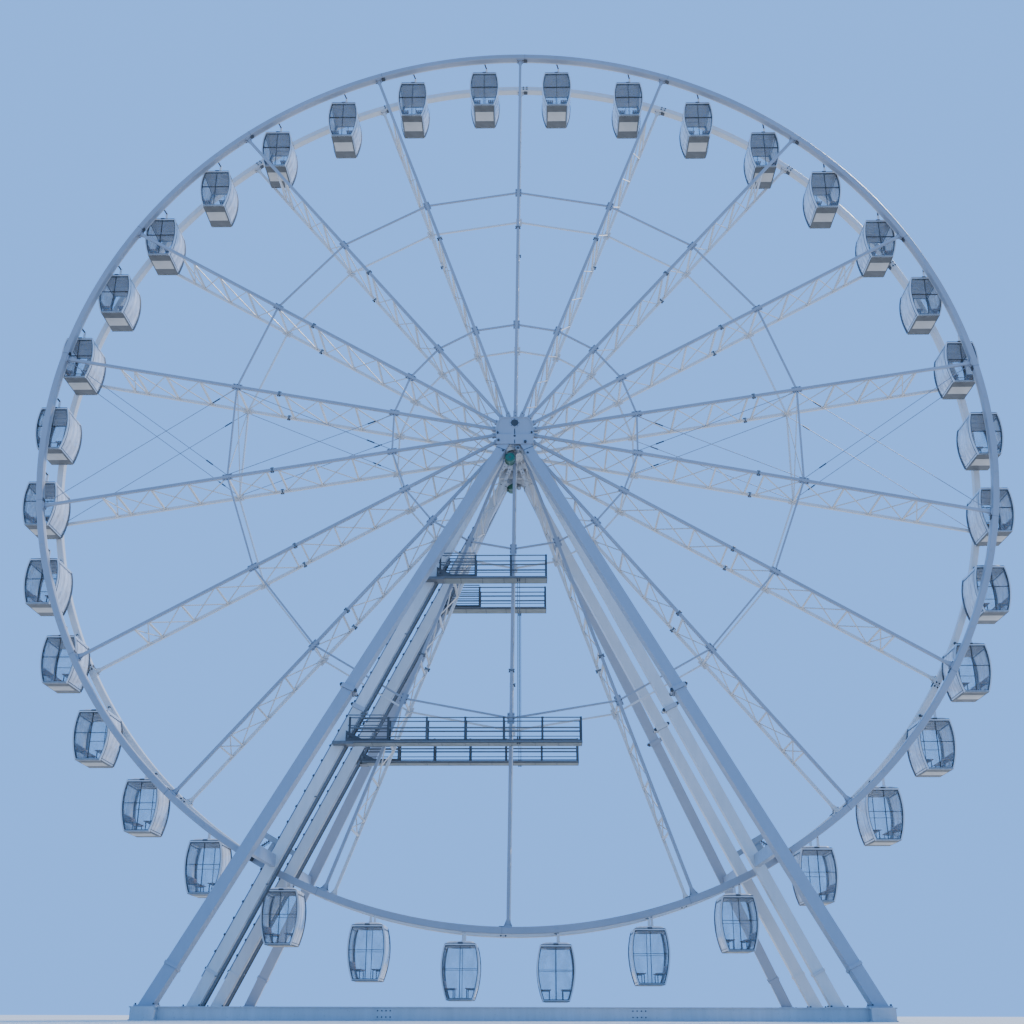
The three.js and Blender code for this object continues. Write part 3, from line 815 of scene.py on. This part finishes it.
def rod_cross(rods, buckles, turns, low, high, side):
    """Two rods that cross in a bay between two spokes, each with a turnbuckle near its inner end."""
    for sign, (first, last) in ((1, turns), (-1, turns[::-1])):
        shift = sign * 0.012
        start = wheel_point(first, low, side * chord_y(low) + shift) + tangent_at(first) * sign * 0.06
        end = wheel_point(last, high, side * chord_y(high) + shift) - tangent_at(last) * sign * 0.06
        rods.tube(start, end, TIE_ROD_RADIUS, 6)
        along = (end - start).normalized()
        buckles.tube(start + along * 0.5, start + along * 0.72, 0.018, 6)


def tie_lattice(bars, turns):
    """The crossing bars between the front and the rear tie at the left and the right of the wheel."""
    y = chord_y(OUTER_RING) - 0.022
    first, last = (wheel_point(turn, OUTER_RING, 0) for turn in turns)
    low = first.lerp(last, 0.03)
    high = first.lerp(last, 0.97)
    for sign in (-1, 1):
        shift = outward_at(sum(turns) / 2) * sign * 0.016
        across = Y_AXIS * sign * y
        bars.tube(low + shift - across, high + shift + across, 0.015, 6)


def hub_details():
    """Bolt circles and stiffening ribs on the hub flanges, and the shaft's collars."""
    paint, bolts = shapes(2)
    collar = ((0.17, 0), (0.17, 0.03), (0.14, 0.045), (0.14, 0.06))
    drum_ring = ((0.255, -0.02), (0.282, -0.02), (0.282, 0.02), (0.255, 0.02))
    for side in (-1, 1):
        face = side * (CHORD_HUB_Y + HUB_FLANGE_HALF)
        inner = side * (CHORD_HUB_Y - HUB_FLANGE_HALF)
        paint.turned(collar, HUB + Y_AXIS * face, Y_AXIS * side, 40)
        for i in range(SPOKES):
            angle = FULL_TURN * (i + 0.5) / SPOKES
            for radius in (0.22, 0.36):
                bolts.bolt(wheel_point(angle, radius, face), Y_AXIS * side, *HUB_BOLT)
            rib = ((0.25, inner), (0.41, inner), (0.25, inner - side * 0.22))
            paint.gusset(*(wheel_point(angle, radius, y) for radius, y in rib), tangent_at(angle), 0.014)
    for y in (-0.25, 0.25):
        paint.turned(drum_ring, HUB + Y_AXIS * y, Y_AXIS, 48)
    put_all("wheel", ("hub_ribs", paint, WHEEL_PAINT_SHADED_FRONT), ("hub_bolts", bolts, BOLT))


def half_width(z):
    """Half the width of a cabin at a height below its pivot."""
    upper = z > CABIN_WIDEST
    edge = CABIN_TOP_HALF if upper else CABIN_FLOOR_HALF
    reach = (CABIN_TOP if upper else CABIN_BOTTOM) - CABIN_WIDEST
    rise = (z - CABIN_WIDEST) / reach
    return CABIN_WIDEST_HALF - (CABIN_WIDEST_HALF - edge) * rise * rise


def barrel(top, bottom, inset):
    """The outline of a cabin seen from the front, set in from its skin."""
    heights = [bottom + (top - bottom) * i / CABIN_STEPS for i in range(CABIN_STEPS + 1)]
    right = [(half_width(z) - inset, z) for z in heights]
    return right + [(-x, z) for x, z in reversed(right)]


def rounded(half_x, half_y, radius, z):
    """A rounded rectangle as a ring of points at one height."""
    ring = []
    for quarter, (sx, sy) in enumerate(((1, 1), (-1, 1), (-1, -1), (1, -1))):
        for i in range(CORNER_POINTS):
            turn = (quarter + i / (CORNER_POINTS - 1)) * math.pi / 2
            x = sx * (half_x - radius) + radius * math.cos(turn)
            y = sy * (half_y - radius) + radius * math.sin(turn)
            ring.append(Vector((x, y, z)))
    return ring


def stacked(base, rectangles):
    """Rounded rectangles one above the other, as rings for a loft."""
    return [rounded(half_x, half_y, radius, base + rise) for half_x, half_y, radius, rise in rectangles]


def side_strip(shape, side, top, bottom, inset, thickness, half_y, steps):
    """A curved strip that follows the bulge of a cabin's side."""
    rings = []
    for i in range(steps + 1):
        z = bottom + (top - bottom) * i / steps
        outer = side * (half_width(z) - inset)
        inner = side * (half_width(z) - inset - thickness)
        corners = ((outer, -half_y), (outer, half_y), (inner, half_y), (inner, -half_y))
        rings.append([Vector((x, y, z)) for x, y in corners])
    shape.loft(rings)


def end_bar(shape, side, half_x, reach, heights, chamfer=0.0):
    """A bar across one end of a cabin, between two distances from its middle and two heights."""
    near, far = stretch(side, *reach)
    shape.box((-half_x, near, heights[0]), (half_x, far, heights[1]), chamfer)


def cabin_shell():
    """The white parts: hoops, roof with its crown, sills, links and the floor."""
    shape = Shape()
    outer = barrel(CABIN_TOP, CABIN_BOTTOM, 0)
    inner = barrel(HEADER, SILL, HOOP)
    for side in (-1, 1):
        shape.band(outer, inner, *stretch(side, HOOP_Y, CABIN_HALF_DEPTH))
        side_strip(shape, side, CABIN_TOP - 0.03, SIDE_HEADER, 0.004, 0.02, HOOP_Y, 3)
        side_strip(shape, side, SIDE_SILL, CABIN_BOTTOM + 0.02, 0.004, 0.02, HOOP_Y, 3)
        link(shape, side)
    shape.loft(stacked(CABIN_TOP, ROOF))
    shape.box((-0.29, -0.5, CABIN_BOTTOM + 0.03), (0.29, 0.5, CABIN_BOTTOM + 0.05))
    return shape


def link(shape, side):
    """The slim link from a cabin's roof up to the arm that reaches its pivot in the rim."""
    outline = [(LINK_X + x, z) for x, z in LINK_HALF] + [(LINK_X - x, z) for x, z in reversed(LINK_HALF)]
    shape.prism(outline, *stretch(side, LINK_Y - 0.014, LINK_Y + 0.014))


def link_arm(shape, side):
    """The slanted arm from the pivot at the rim in to the link."""
    shape.tube((0, side * PIVOT_Y, 0), (LINK_X, side * (LINK_Y - 0.01), LINK_TOP - 0.015), 0.022, 10)
    shape.turned(((0.034, -0.034), (0.034, 0.012), (0.026, 0.012)), (0, side * PIVOT_Y, 0), Y_AXIS * side, 16)


def cabin_trim():
    """The dark parts: seals, mullions, rails, arms and bench legs, with painted shade: dark linings on the hoops'
    inner faces and a dark band round the rear hoop's edge.
    """
    shape = Shape()
    outer = barrel(HEADER + 0.001, SILL - 0.001, HOOP - 0.001)
    inner = barrel(HEADER - SEAL, SILL + SEAL, HOOP + SEAL)
    painted_shade_lining = barrel(CABIN_TOP - 0.035, CABIN_BOTTOM + 0.03, 0.003)
    rail_half = half_width(HAND_RAIL) - HOOP - SEAL
    bar = (HOOP_Y + 0.012, CABIN_HALF_DEPTH + 0.004)
    roof_line = (CABIN_HALF_DEPTH - 0.02, CABIN_HALF_DEPTH + 0.003)
    for side in (-1, 1):
        shape.band(outer, inner, *stretch(side, HOOP_Y + 0.006, CABIN_HALF_DEPTH - 0.008))
        # Painted shade: a dark band on each hoop's inner face.
        shape.band(painted_shade_lining, inner, *stretch(side, LINING_Y, HOOP_Y + 0.001))
        end_bar(shape, side, 0.006, bar, (SILL, HEADER), 0.002)
        end_bar(shape, side, rail_half, bar, (HAND_RAIL - 0.004, HAND_RAIL + 0.004))
        end_bar(shape, side, 0.335, roof_line, (CABIN_TOP - 0.008, CABIN_TOP + 0.006), 0.002)
        end_bar(shape, side, 0.055, (0.495, 0.533), (CABIN_TOP - 0.014, CABIN_TOP + 0.022), 0.006)
        side_strip(shape, side, SIDE_HEADER + 0.001, SIDE_HEADER - 0.03, 0.002, 0.014, LINING_Y, 2)
        side_strip(shape, side, SIDE_SILL + 0.014, SIDE_SILL - 0.001, 0.002, 0.014, LINING_Y, 2)
        link_arm(shape, side)
        for y in (-0.34, 0.34):
            bench_leg(shape, side, y)
    # Painted shade: a dark band over the outside of the rear hoop's edge, at the rear end only, while the front
    # hoop stays white.
    skin, core = (barrel(CABIN_TOP - 0.04, CABIN_BOTTOM + 0.02, inset) for inset in (-0.003, 0.004))
    shape.band(skin, core, LINING_Y, CABIN_HALF_DEPTH - 0.006)
    return shape


def bench_leg(shape, side, y):
    """The bent flat bar that carries the slats of one bench."""
    x = side * 0.15
    seat = SEAT_TOP - SLAT_THICKNESS - 0.01
    shape.beam((x, y, CABIN_BOTTOM + 0.04), (x, y, SEAT_TOP - SLAT_THICKNESS), 0.02, 0.03, X_AXIS)
    shape.beam((x, y, seat), (side * 0.335, y, seat), 0.03, 0.02, Y_AXIS)
    shape.beam((side * 0.35, y, seat - 0.01), (side * 0.378, y, BACK_TOP), 0.03, 0.012, Y_AXIS)


def cabin_pan():
    """The dark floor pan that the hoops stand on."""
    shape = Shape()
    shape.loft(stacked(CABIN_BOTTOM, FLOOR_PAN))
    return shape


def cabin_panels():
    """The cream panel under the floor, between two dark bands."""
    panel = Shape()
    panel.loft(stacked(CABIN_BOTTOM, FLOOR_PANEL))
    return panel.moved(Matrix.Translation((0, (PANEL_FRONT + PANEL_REAR) / 2, 0)))


def cabin_ceiling():
    """The grey ceiling panel with three lamp strips across it."""
    shape = Shape()
    shape.loft(stacked(CABIN_TOP, CEILING))
    for y in (-0.28, 0.0, 0.28):
        shape.block((0, y), (0.22, 0.012), CABIN_TOP - 0.078, CABIN_TOP - 0.066, 0.004)
    return shape


def cabin_panes():
    """The flat clear panes in the two hoops."""
    shape = Shape()
    pane = barrel(HEADER - 0.004, SILL + 0.004, HOOP + 0.004)
    for side in (-1, 1):
        shape.prism(pane, *stretch(side, HOOP_Y + 0.02, HOOP_Y + 0.02 + GLASS))
    return shape


def cabin_sides():
    """The bulging cloudy panes at the sides."""
    shape = Shape()
    for side in (-1, 1):
        side_strip(shape, side, SIDE_HEADER - 0.006, SIDE_SILL + 0.006, 0.005, GLASS, LINING_Y, 12)
    return shape


def cabin_seats():
    """Two benches of timber slats along the sides, each with a slatted back."""
    shape = Shape()
    for side in (-1, 1):
        for i in range(4):
            x = side * (0.135 + 0.056 * i)
            z = SEAT_TOP - SLAT_THICKNESS / 2
            shape.beam((x, -BENCH_END, z), (x, BENCH_END, z), SLAT, SLAT_THICKNESS, X_AXIS, 0.004)
        for i in range(3):
            x = side * (0.345 + 0.010 * i)
            z = SEAT_TOP + 0.03 + 0.054 * i
            shape.beam((x, -BENCH_END, z), (x, BENCH_END, z), SLAT_THICKNESS, SLAT, X_AXIS, 0.004)
    return shape


def cabins():
    kinds = (
        ("shell", cabin_shell(), CABIN_PAINT), ("trim", cabin_trim(), TRIM), ("pan", cabin_pan(), PAN),
        ("panels", cabin_panels(), PANEL_PAINT), ("ceiling", cabin_ceiling(), CEILING_PAINT),
        ("panes", cabin_panes(), WINDOW), ("sides", cabin_sides(), SIDE_WINDOW),
        ("seats", cabin_seats(), SEATING),
    )
    for kind, shape, finish in kinds:
        mesh = shape.mesh(f"cabin_{kind}")
        for i in range(1, CABINS + 1):
            node = f"cabin_{i:02d}"
            piece = put(f"{node}_{kind}", mesh, finish, f"{node}_body", PIVOTS[f"{node}_level"])
            if kind == "shell":
                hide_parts(node)


def leg_point(outer, hand, end, drop):
    y = OUTER_LEG_Y + OUTER_SPREAD * drop if outer else INNER_LEG_Y
    return Vector((hand * (LEG_X + LEG_LEAN * drop), end * y, HUB.z - drop))


def leg_axes(outer, hand, end):
    """Down along a leg, across its front face, and out of that face."""
    along = (leg_point(outer, hand, end, 2.0) - leg_point(outer, hand, end, 1.0)).normalized()
    across = along.cross(X_AXIS).normalized()
    side = across.cross(along).normalized()
    return along, side, across


def legs():
    """Every leg: whether it is an outer one, its hand and its end."""
    for outer in (False, True):
        for hand in (-1, 1):
            for end in (-1, 1):
                yield outer, hand, end


def leg_details():
    """The pins and the seam of each collar, the joint under each head, and the foot plates."""
    paint, dark, bolts = shapes(3)
    for leg in legs():
        along, side, out = leg_axes(*leg)
        seam = leg_point(*leg, COLLAR_DROP) + along * (COLLAR_THICKNESS + 0.008)
        leg_ring(dark, seam, along, side, 0.007, 0.01)
        middle = leg_point(*leg, COLLAR_DROP) + along * COLLAR_THICKNESS / 2
        for step in (-1, 1):
            ear = middle + side * step * (COLLAR_SIZE / 2)
            paint.beam(ear - out * 0.08, ear + out * 0.08, 0.1, COLLAR_THICKNESS * 0.8, side, 0.015)
            pin = ear + side * step * 0.02
            for face in (1, -1):
                bolts.turned(COLLAR_PIN, pin + out * face * 0.075, out * face, 12)
        joint = leg_point(*leg, LEG_TOP_DROP + 0.16)
        leg_ring(dark, joint, along, side, 0.006, 0.006)
        foot_details(paint, bolts, leg)
    put_all("support", ("leg_collars", paint, LEG_PAINT_SHADED_OUTSIDE), ("leg_seams", dark, TRIM),
            ("leg_bolts", bolts, BOLT))


def leg_ring(shape, centre, along, side, half, proud, chamfer=0.0):
    """A short square ring about a leg."""
    size = LEG_SIZE + 2 * proud
    shape.beam(centre - along * half, centre + along * half, size, size, side, chamfer)


def foot_details(paint, bolts, leg):
    """The base plate under a leg with its holding-down bolts, and the band above it."""
    foot = leg_point(*leg, BASE_DROP)
    half = LEG_SIZE / 2 + 0.08
    top = foot.z + 0.03
    paint.block((foot.x, foot.y), (half, half), foot.z, top, 0.02)
    for a in (-1, 1):
        for b in (-1, 1):
            place = (foot.x + a * (half - 0.035), foot.y + b * (half - 0.035), top)
            bolts.bolt(place, Z_AXIS, *FOOT_BOLT)
    along, side, _ = leg_axes(*leg)
    leg_ring(paint, leg_point(*leg, HUB.z - 1.0) + along * 0.03, along, side, 0.03, 0.02, 0.015)


def cable_runs():
    """Cable runs with round clamps, up the outward edges of the left inner legs."""
    cables, clamps = shapes(2)
    for end in (-1, 1):
        leg = (False, -1, end)
        along, side, out = leg_axes(*leg)
        outward = side if side.x < 0 else -side
        start, stop = (leg_point(*leg, drop) + outward * (LEG_SIZE / 2 + 0.035) for drop in CABLE_DROPS)
        for step in (-0.022, 0.022):
            cables.tube(start + out * step, stop + out * step, 0.016)
        for i in range(CLAMPS):
            centre = start.lerp(stop, (i + 0.5) / CLAMPS)
            clamps.beam(centre - along * 0.025, centre + along * 0.025, 0.07, 0.075, side, 0.012)
            base = centre - outward * 0.03
            clamps.beam(base - along * 0.01, base + along * 0.01, 0.04, 0.11, side)
    put_all("support", ("cable_runs", cables, CABLE), ("cable_clamps", clamps, BOLT))


def head_details():
    """What both tower heads carry; the motor of the front one hangs lower."""
    kinds = (
        ("head_trim", LEG_PAINT_SHADED_OUTSIDE), ("head_ports", TRIM), ("head_bolts", BOLT),
        ("head_motors", GREEN_PAINT), ("head_gearboxes", DRIVE_PAINT),
    )
    for front, rear, (name, finish) in zip(head_parts(FRONT_MOTOR_DROP), head_parts(REAR_MOTOR_DROP), kinds):
        put_all("support", (name, front.mirrored(y=-1).join(rear), finish))


def head_parts(motor_drop):
    """The rear head's plate: port, slot, bolts, edge rib, the arch below and the geared motor."""
    paint, dark, bolts, green, steel = shapes(5)
    face = HEAD_FACE_Y
    paint.band(head_outline(0.0), head_outline(0.03), face, face + 0.016)
    port = HUB + Y_AXIS * face
    paint.turned(PORT_RING, port, Y_AXIS, 32)
    dark.turned(PORT, port, Y_AXIS, 32)
    for i in range(8):
        bolts.bolt(port + tangent_at(FULL_TURN * i / 8) * 0.112 + Y_AXIS * 0.014, Y_AXIS, *PORT_BOLT)
    dark.box((-0.012, face, HUB.z - 0.33), (0.012, face + 0.008, HUB.z - 0.16), 0.003)
    dark.turned(((0.03, 0), (0.03, 0.008), (0.02, 0.01)), (0, HEAD_FOOT_Y, HUB.z - 0.38), Y_AXIS, 16)
    dark.box((-0.01, HEAD_FOOT_Y, HUB.z - 0.585), (0.01, HEAD_FOOT_Y + 0.008, HUB.z - 0.49), 0.003)
    for x, y, z, radius in HEAD_PINS:
        bolts.turned(((radius, 0), (radius, 0.03), (radius * 0.8, 0.038)), (x, y, HUB.z + z), Y_AXIS, 12)
    arch_gusset(paint)
    geared_motor(green, dark, steel, bolts, motor_drop)
    return paint, dark, bolts, green, steel


def head_outline(inset):
    """The outline of a head plate, as a ring of (x, z) points."""
    radius = HEAD_RADIUS - inset
    reach = math.asin((-HEAD_CENTRE - inset - HEAD_CENTRE) / radius)
    points = [(0.46 - inset, HEAD_BOTTOM + inset), (radius, HEAD_BOTTOM / 2)]
    steps = 8
    for i in range(steps + 1):
        turn = reach * i / steps
        points.append((radius * math.cos(turn), HEAD_CENTRE + radius * math.sin(turn)))
    return [(x, HUB.z + z) for x, z in points + [(-x, z) for x, z in reversed(points)]]


def arch_gusset(paint):
    """The arched plates between the inner legs under a head."""
    low = HUB.z - ARCH_DROP
    high = HUB.z + HEAD_BOTTOM - 0.002
    edge = LEG_X + LEG_LEAN * ARCH_DROP - LEG_SIZE / 2
    top = LEG_X + LEG_LEAN * LEG_TOP_DROP - LEG_SIZE / 4
    outline = [(-edge, low)]
    steps = 16
    for i in range(steps + 1):
        turn = math.pi - math.pi * i / steps
        outline.append(((edge - 0.03) * math.cos(turn), low + 0.02 + ARCH_HEIGHT * math.sin(turn)))
    outline.extend([(edge, low), (top, high), (-top, high)])
    paint.prism(outline, 0.99, 1.01)
    paint.prism(outline, 1.16, 1.18)


def geared_motor(green, dark, steel, bolts, drop):
    """A round geared motor under a head, lying along Y, with its fan cover outward."""
    centre = Vector((-0.118, 1.0, HUB.z - drop))
    green.turned(MOTOR, centre, Y_AXIS, 32)
    for i in range(20):
        around = tangent_at(FULL_TURN * i / 20)
        start = centre + around * 0.122 + Y_AXIS * 0.03
        green.beam(start, start + Y_AXIS * 0.15, 0.02, 0.006, around)
    dark.turned(((0.025, 0), (0.025, 0.004), (0.01, 0.006)), centre + Y_AXIS * 0.3, Y_AXIS, 24)
    steel.block((centre.x, 0.96), (0.1, 0.06), centre.z + 0.05, HUB.z - 0.6, 0.02)
    small = Vector((0.08, 1.2, HUB.z - 0.70))
    steel.turned(GEARBOX, small, Y_AXIS, 20)
    dark.turned(((0.035, 0), (0.035, 0.004), (0.02, 0.006)), small + Y_AXIS * 0.115, Y_AXIS, 20)
    steel.box((-0.06, 1.1, HUB.z - 0.66), (0.14, 1.24, HUB.z - 0.6), 0.01)
    for i in range(4):
        place = centre + tangent_at(FULL_TURN * (i + 0.5) / 4) * 0.1 + Y_AXIS * 0.298
        bolts.bolt(place, Y_AXIS, *MOTOR_BOLT)


def walkway_details():
    """What the walkways of both ends carry, with the ladder and the lifelines."""
    steel, dark, panels = shapes(3)
    for drop, stop in WALKS:
        start = DECK_SETBACK - (LEG_X + LEG_LEAN * drop)
        top = HUB.z - drop
        deck_rails(steel, dark, start, stop, top)
        deck_underside(panels, dark, start, stop, top - DECK)
        for y in (WALK_INNER_Y, WALK_OUTER_Y):
            bracket(dark, start, y, top + LANDING_STEP)
    lifelines(steel, dark)
    ladder(steel, dark)
    put_all("support", ("walkway_rails", steel.both_ends(), GALVANISED),
            ("walkway_posts", dark.both_ends(), TRIM), ("walkway_panels", panels.both_ends(), DECK_PAINT))


def deck_rails(steel, dark, start, stop, top):
    """The posts and rails of a deck, the edges of its floor and the landing one step up."""
    bays = round((stop - start) / POST_SPACING)
    posts = [start + POST / 2 + (stop - start - POST) * i / bays for i in range(bays + 1)]
    landing = posts[1]
    for y in (WALK_INNER_Y + RAIL, WALK_OUTER_Y - RAIL):
        for z in (top + LOW_RAIL, top + LOW_RAIL + 0.21):
            steel.tube((start, y, z), (stop, y, z), TUBE_RAIL)
        for x in posts:
            dark.block((x, y), (0.024, 0.018), top - DECK, top + RAIL_HEIGHT + 0.006, 0.004)
        for z in (MIDDLE_RAIL, RAIL_HEIGHT):
            level = top + z + LANDING_STEP
            steel.beam((start - 0.02, y, level), (landing, y, level), RAIL, RAIL, Y_AXIS, 0.004)
        edge = top - DECK / 2
        dark.beam((start, y, edge), (stop + 0.006, y, edge), 0.02, DECK + 0.012, Y_AXIS)
    dark.box((start - 0.06, WALK_INNER_Y - 0.01, top), (landing, WALK_OUTER_Y + 0.01, top + LANDING_STEP))
    x = stop - RAIL / 2
    for z in (LOW_RAIL, MIDDLE_RAIL, RAIL_HEIGHT):
        level = top + z - RAIL / 2
        steel.tube((x, WALK_INNER_Y + RAIL, level), (x, WALK_OUTER_Y - RAIL, level), TUBE_RAIL)


def deck_underside(panels, dark, start, stop, under):
    """The plates under a deck with the dark joints between them."""
    count = round((stop - start) / PANEL_SPACING)
    edges = [start + (stop - start) * i / count for i in range(count + 1)]
    middle = (WALK_INNER_Y + WALK_OUTER_Y) / 2
    half = (WALK_OUTER_Y - WALK_INNER_Y) / 2
    for low, high in zip(edges, edges[1:]):
        plate = ((high - low) / 2 - 0.008, half - 0.035)
        panels.block(((low + high) / 2, middle), plate, under - 0.012, under + 0.002, 0.006)
        dark.block((high, middle), (0.008, half - 0.02), under - 0.006, under + 0.001)


def bracket(dark, start, y, top):
    """The three-cornered plate that holds a deck to the leg, with a hole in it."""
    outer = [(start - 0.06, top - 0.03), (start + 0.36, top - 0.03), (start - 0.06, top + 0.19)]
    inner = [(start - 0.01, top + 0.01), (start + 0.11, top + 0.01), (start - 0.01, top + 0.08)]
    dark.band(outer, inner, y - 0.008, y + 0.008)


def lifelines(steel, dark):
    """The two upright safety lines between the walkways of one end, with their clamps."""
    upper, lower = (HUB.z - drop for drop, _ in WALKS)
    y = WALK_OUTER_Y - 0.05
    for x in (LIFELINE_X - 0.025, LIFELINE_X + 0.025):
        steel.tube((x, y, lower - 0.06), (x, y, upper - DECK), 0.007)
        for z in (lower - 0.05, lower + 0.06, upper - DECK - 0.05):
            dark.tube((x, y, z - 0.03), (x, y, z + 0.03), 0.016)


def ladder(steel, dark):
    """The ladder's closely spaced rungs, with a stay to the leg at every twelfth one."""
    inner, outer = LADDER_Y
    for i in range(1, int((BASE_DROP - LADDER_TOP_DROP) / LADDER_STEP)):
        drop = LADDER_TOP_DROP + i * LADDER_STEP
        leg_x = -(LEG_X + LEG_LEAN * drop)
        x = leg_x + LADDER_STANDOFF
        z = HUB.z - drop
        steel.tube((x, inner, z), (x, outer, z), 0.009, 6)
        if i % RUNGS_PER_STAY == 0:
            dark.beam((leg_x + LEG_SIZE / 2, outer, z), (x, outer, z), 0.02, 0.02, Y_AXIS)


def drive_unit():
    """A drive at the top of the wheel, rear end, before it is turned to its place."""
    steel, rubber, dark, bolts = shapes(4)
    drive_tyre(steel, rubber, bolts)
    gearbox_z = TYRE_TOP - 0.24
    steel.block((0, 1.04), (0.12, 0.14), TYRE_TOP - 0.46, TYRE_TOP - 0.02, 0.03)
    steel.turned(GEARBOX_COVER, (0, 1.18, gearbox_z), Y_AXIS, 32)
    dark.turned(((0.045, 0), (0.045, 0.008), (0.03, 0.01)), (0, 1.23, gearbox_z), Y_AXIS, 24)
    for x, z in circle(0.09, 8):
        bolts.bolt((x, 1.21, gearbox_z + z), Y_AXIS, *GEARBOX_BOLT)
    for y in ARM_Y:
        steel.beam((-0.12, y, ARM_Z), (ARM_REACH, y, ARM_Z), 0.04, 0.12, Y_AXIS, 0.006)
    for x in (-0.1, 0.15, 0.4, 0.6):
        steel.box((x, ARM_Y[0], ARM_Z - 0.05), (x + 0.03, ARM_Y[1], ARM_Z + 0.05))
    spring(steel, Vector((0.3, 1.04, ARM_Z + 0.06)), Vector((0.12, 1.04, TYRE_TOP - 0.12)))
    dark.tube((0.3, 1.04, ARM_Z + 0.04), (0.1, 1.04, TYRE_TOP - 0.1), 0.016, 10)
    return steel, rubber, dark, bolts


def drive_tyre(steel, rubber, bolts):
    """The tyre that runs on the rim's side, with a bolted disc in each face."""
    axle = Vector((0, TYRE_Y, RIM_RADIUS))
    w = TYRE_HALF_WIDTH
    r = TYRE_RADIUS
    half = [(0.12, w - 0.012), (r - 0.02, w), (r - 0.006, w - 0.012), (r, w - 0.03)]
    rubber.turned([(radius, -height) for radius, height in half] + half[::-1], axle, Z_AXIS, 48)
    for face in (-1, 1):
        disc = axle + Z_AXIS * face * (w - 0.012)
        steel.turned(WHEEL_DISC, disc, Z_AXIS * face, 32)
        for x, y in circle(0.08, 6):
            bolts.bolt(disc + Vector((x, y, face * 0.011)), Z_AXIS * face, *TYRE_BOLT)


def spring(shape, start, end):
    """A wound spring between two points."""
    along = (end - start).normalized()
    across, up = square_axes(along, along.orthogonal())
    steps = 12 * SPRING_COILS
    path = []
    for i in range(steps + 1):
        turn = FULL_TURN * SPRING_COILS * i / steps
        around = across * SPRING_RADIUS * math.cos(turn) + up * SPRING_RADIUS * math.sin(turn)
        path.append(start.lerp(end, i / steps) + around)
    shape.rod(path, 0.009, 6)


def drives():
    kinds = (("frame", DRIVE_PAINT), ("tyre", RUBBER), ("caps", TRIM), ("bolts", BOLT))
    turn = Matrix.Translation(HUB) @ turned_about("Y", DRIVE_ANGLE)
    for hand, hand_name in ((-1, "left"), (1, "right")):
        for end, end_name in ((-1, "front"), (1, "rear")):
            node = f"drive_{end_name}_{hand_name}"
            for shape, (kind, finish) in zip(drive_unit(), kinds):
                name = f"{node}_{kind}"
                piece = put(name, shape.moved(turn).mirrored(hand, end).mesh(name), finish, "support")
                if kind == "frame":
                    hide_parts(node)


def base_details():
    """Flanges, ribs, splice plates and bolts of the base frame."""
    paint, bolts = shapes(2)
    foot_x = LEG_X + LEG_LEAN * BASE_DROP
    outer_y = OUTER_LEG_Y + OUTER_SPREAD * BASE_DROP
    for hand in (-1, 1):
        for z in (0.0, BASE_HEIGHT - 0.022):
            for edge in (-0.24, 0.24):
                paint.block((hand * foot_x + edge, 0), (0.016, BASE_END_Y), z, z + 0.022)
        for i in range(-6, 7):
            y = (BASE_END_Y - 0.1) * i / 6
            paint.block((hand * (foot_x + 0.242), y), (0.012, 0.008), 0.02, 0.23)
    for y in (-INNER_LEG_Y, -outer_y, INNER_LEG_Y, outer_y):
        for edge in (-1, 1):
            for z in (0.0, BASE_HEIGHT - 0.018):
                paint.block((0, y + edge * 0.125), (foot_x - 0.25, 0.012), z, z + 0.018)
            for x in (-2.4, 2.4):
                base_splice(paint, bolts, x, y, edge)
    put_all("support", ("base_flanges", paint, BASE_PAINT), ("base_bolts", bolts, BOLT))


def base_splice(paint, bolts, x, y, edge):
    """The bolted plate over a joint of a long beam, on one of its sides."""
    paint.block((x, y + edge * 0.115), (0.16, 0.008), 0.03, 0.22)
    for step in (-0.12, -0.04, 0.04, 0.12):
        for z in (0.07, 0.18):
            bolts.bolt((x + step, y + edge * 0.123, z), Y_AXIS * edge, *SHOE_BOLT)


def turned_about(axis, angle):
    return Matrix.Rotation(angle, 4, axis)


def camera():
    """The photograph's viewpoint: near the ground in front, looking up at the wheel."""
    data = bpy.data.cameras.new("camera")
    data.sensor_width = SENSOR
    data.lens = FOCAL_PIXELS / IMAGE_SIZE * SENSOR
    data.clip_end = VIEW_REACH
    view = bpy.data.objects.new("camera", data)
    aim = turned_about("Z", -CAMERA_YAW) @ turned_about("X", math.pi / 2 + CAMERA_PITCH)
    view.matrix_world = Matrix.Translation(CAMERA_PLACE) @ aim @ turned_about("Z", CAMERA_ROLL)
    bpy.context.scene.collection.objects.link(view)
    bpy.context.scene.camera = view


def floor():
    shape = Shape()
    shape.loft([[Vector((x, y, z)) for x, y in circle(FLOOR_RADIUS, 8)] for z in (-0.02, 0.0)])
    mesh = shape.mesh("floor")
    material, _ = painted("floor", (0.80, 0.74, 0.65), 0.8, grime=0.05, cloud=0.08)
    mesh.materials.append(material)
    ground = bpy.data.objects.new("floor", mesh)
    ground.location = (0, 0, -0.002)
    bpy.context.scene.collection.objects.link(ground)


def lights():
    world = bpy.data.worlds.new("studio")
    world.use_nodes = True
    background = world.node_tree.nodes["Background"]
    background.inputs["Color"].default_value = WORLD_COLOR
    background.inputs["Strength"].default_value = WORLD_STRENGTH
    bpy.context.scene.world = world
    data = bpy.data.lights.new("sun", "SUN")
    data.energy = SUN_ENERGY
    data.angle = SUN_ANGLE
    data.color = SUN_COLOR
    sun = bpy.data.objects.new("sun", data)
    sun.rotation_euler = SUN_TOWARD.to_track_quat("-Z", "Y").to_euler()
    bpy.context.scene.collection.objects.link(sun)


paint_frame()
rims()
spoke_bracing()
ring_bracing()
hub_details()
cabins()
leg_details()
cable_runs()
head_details()
walkway_details()
drives()
base_details()
camera()
floor()
lights()

bpy.context.view_layer.update()
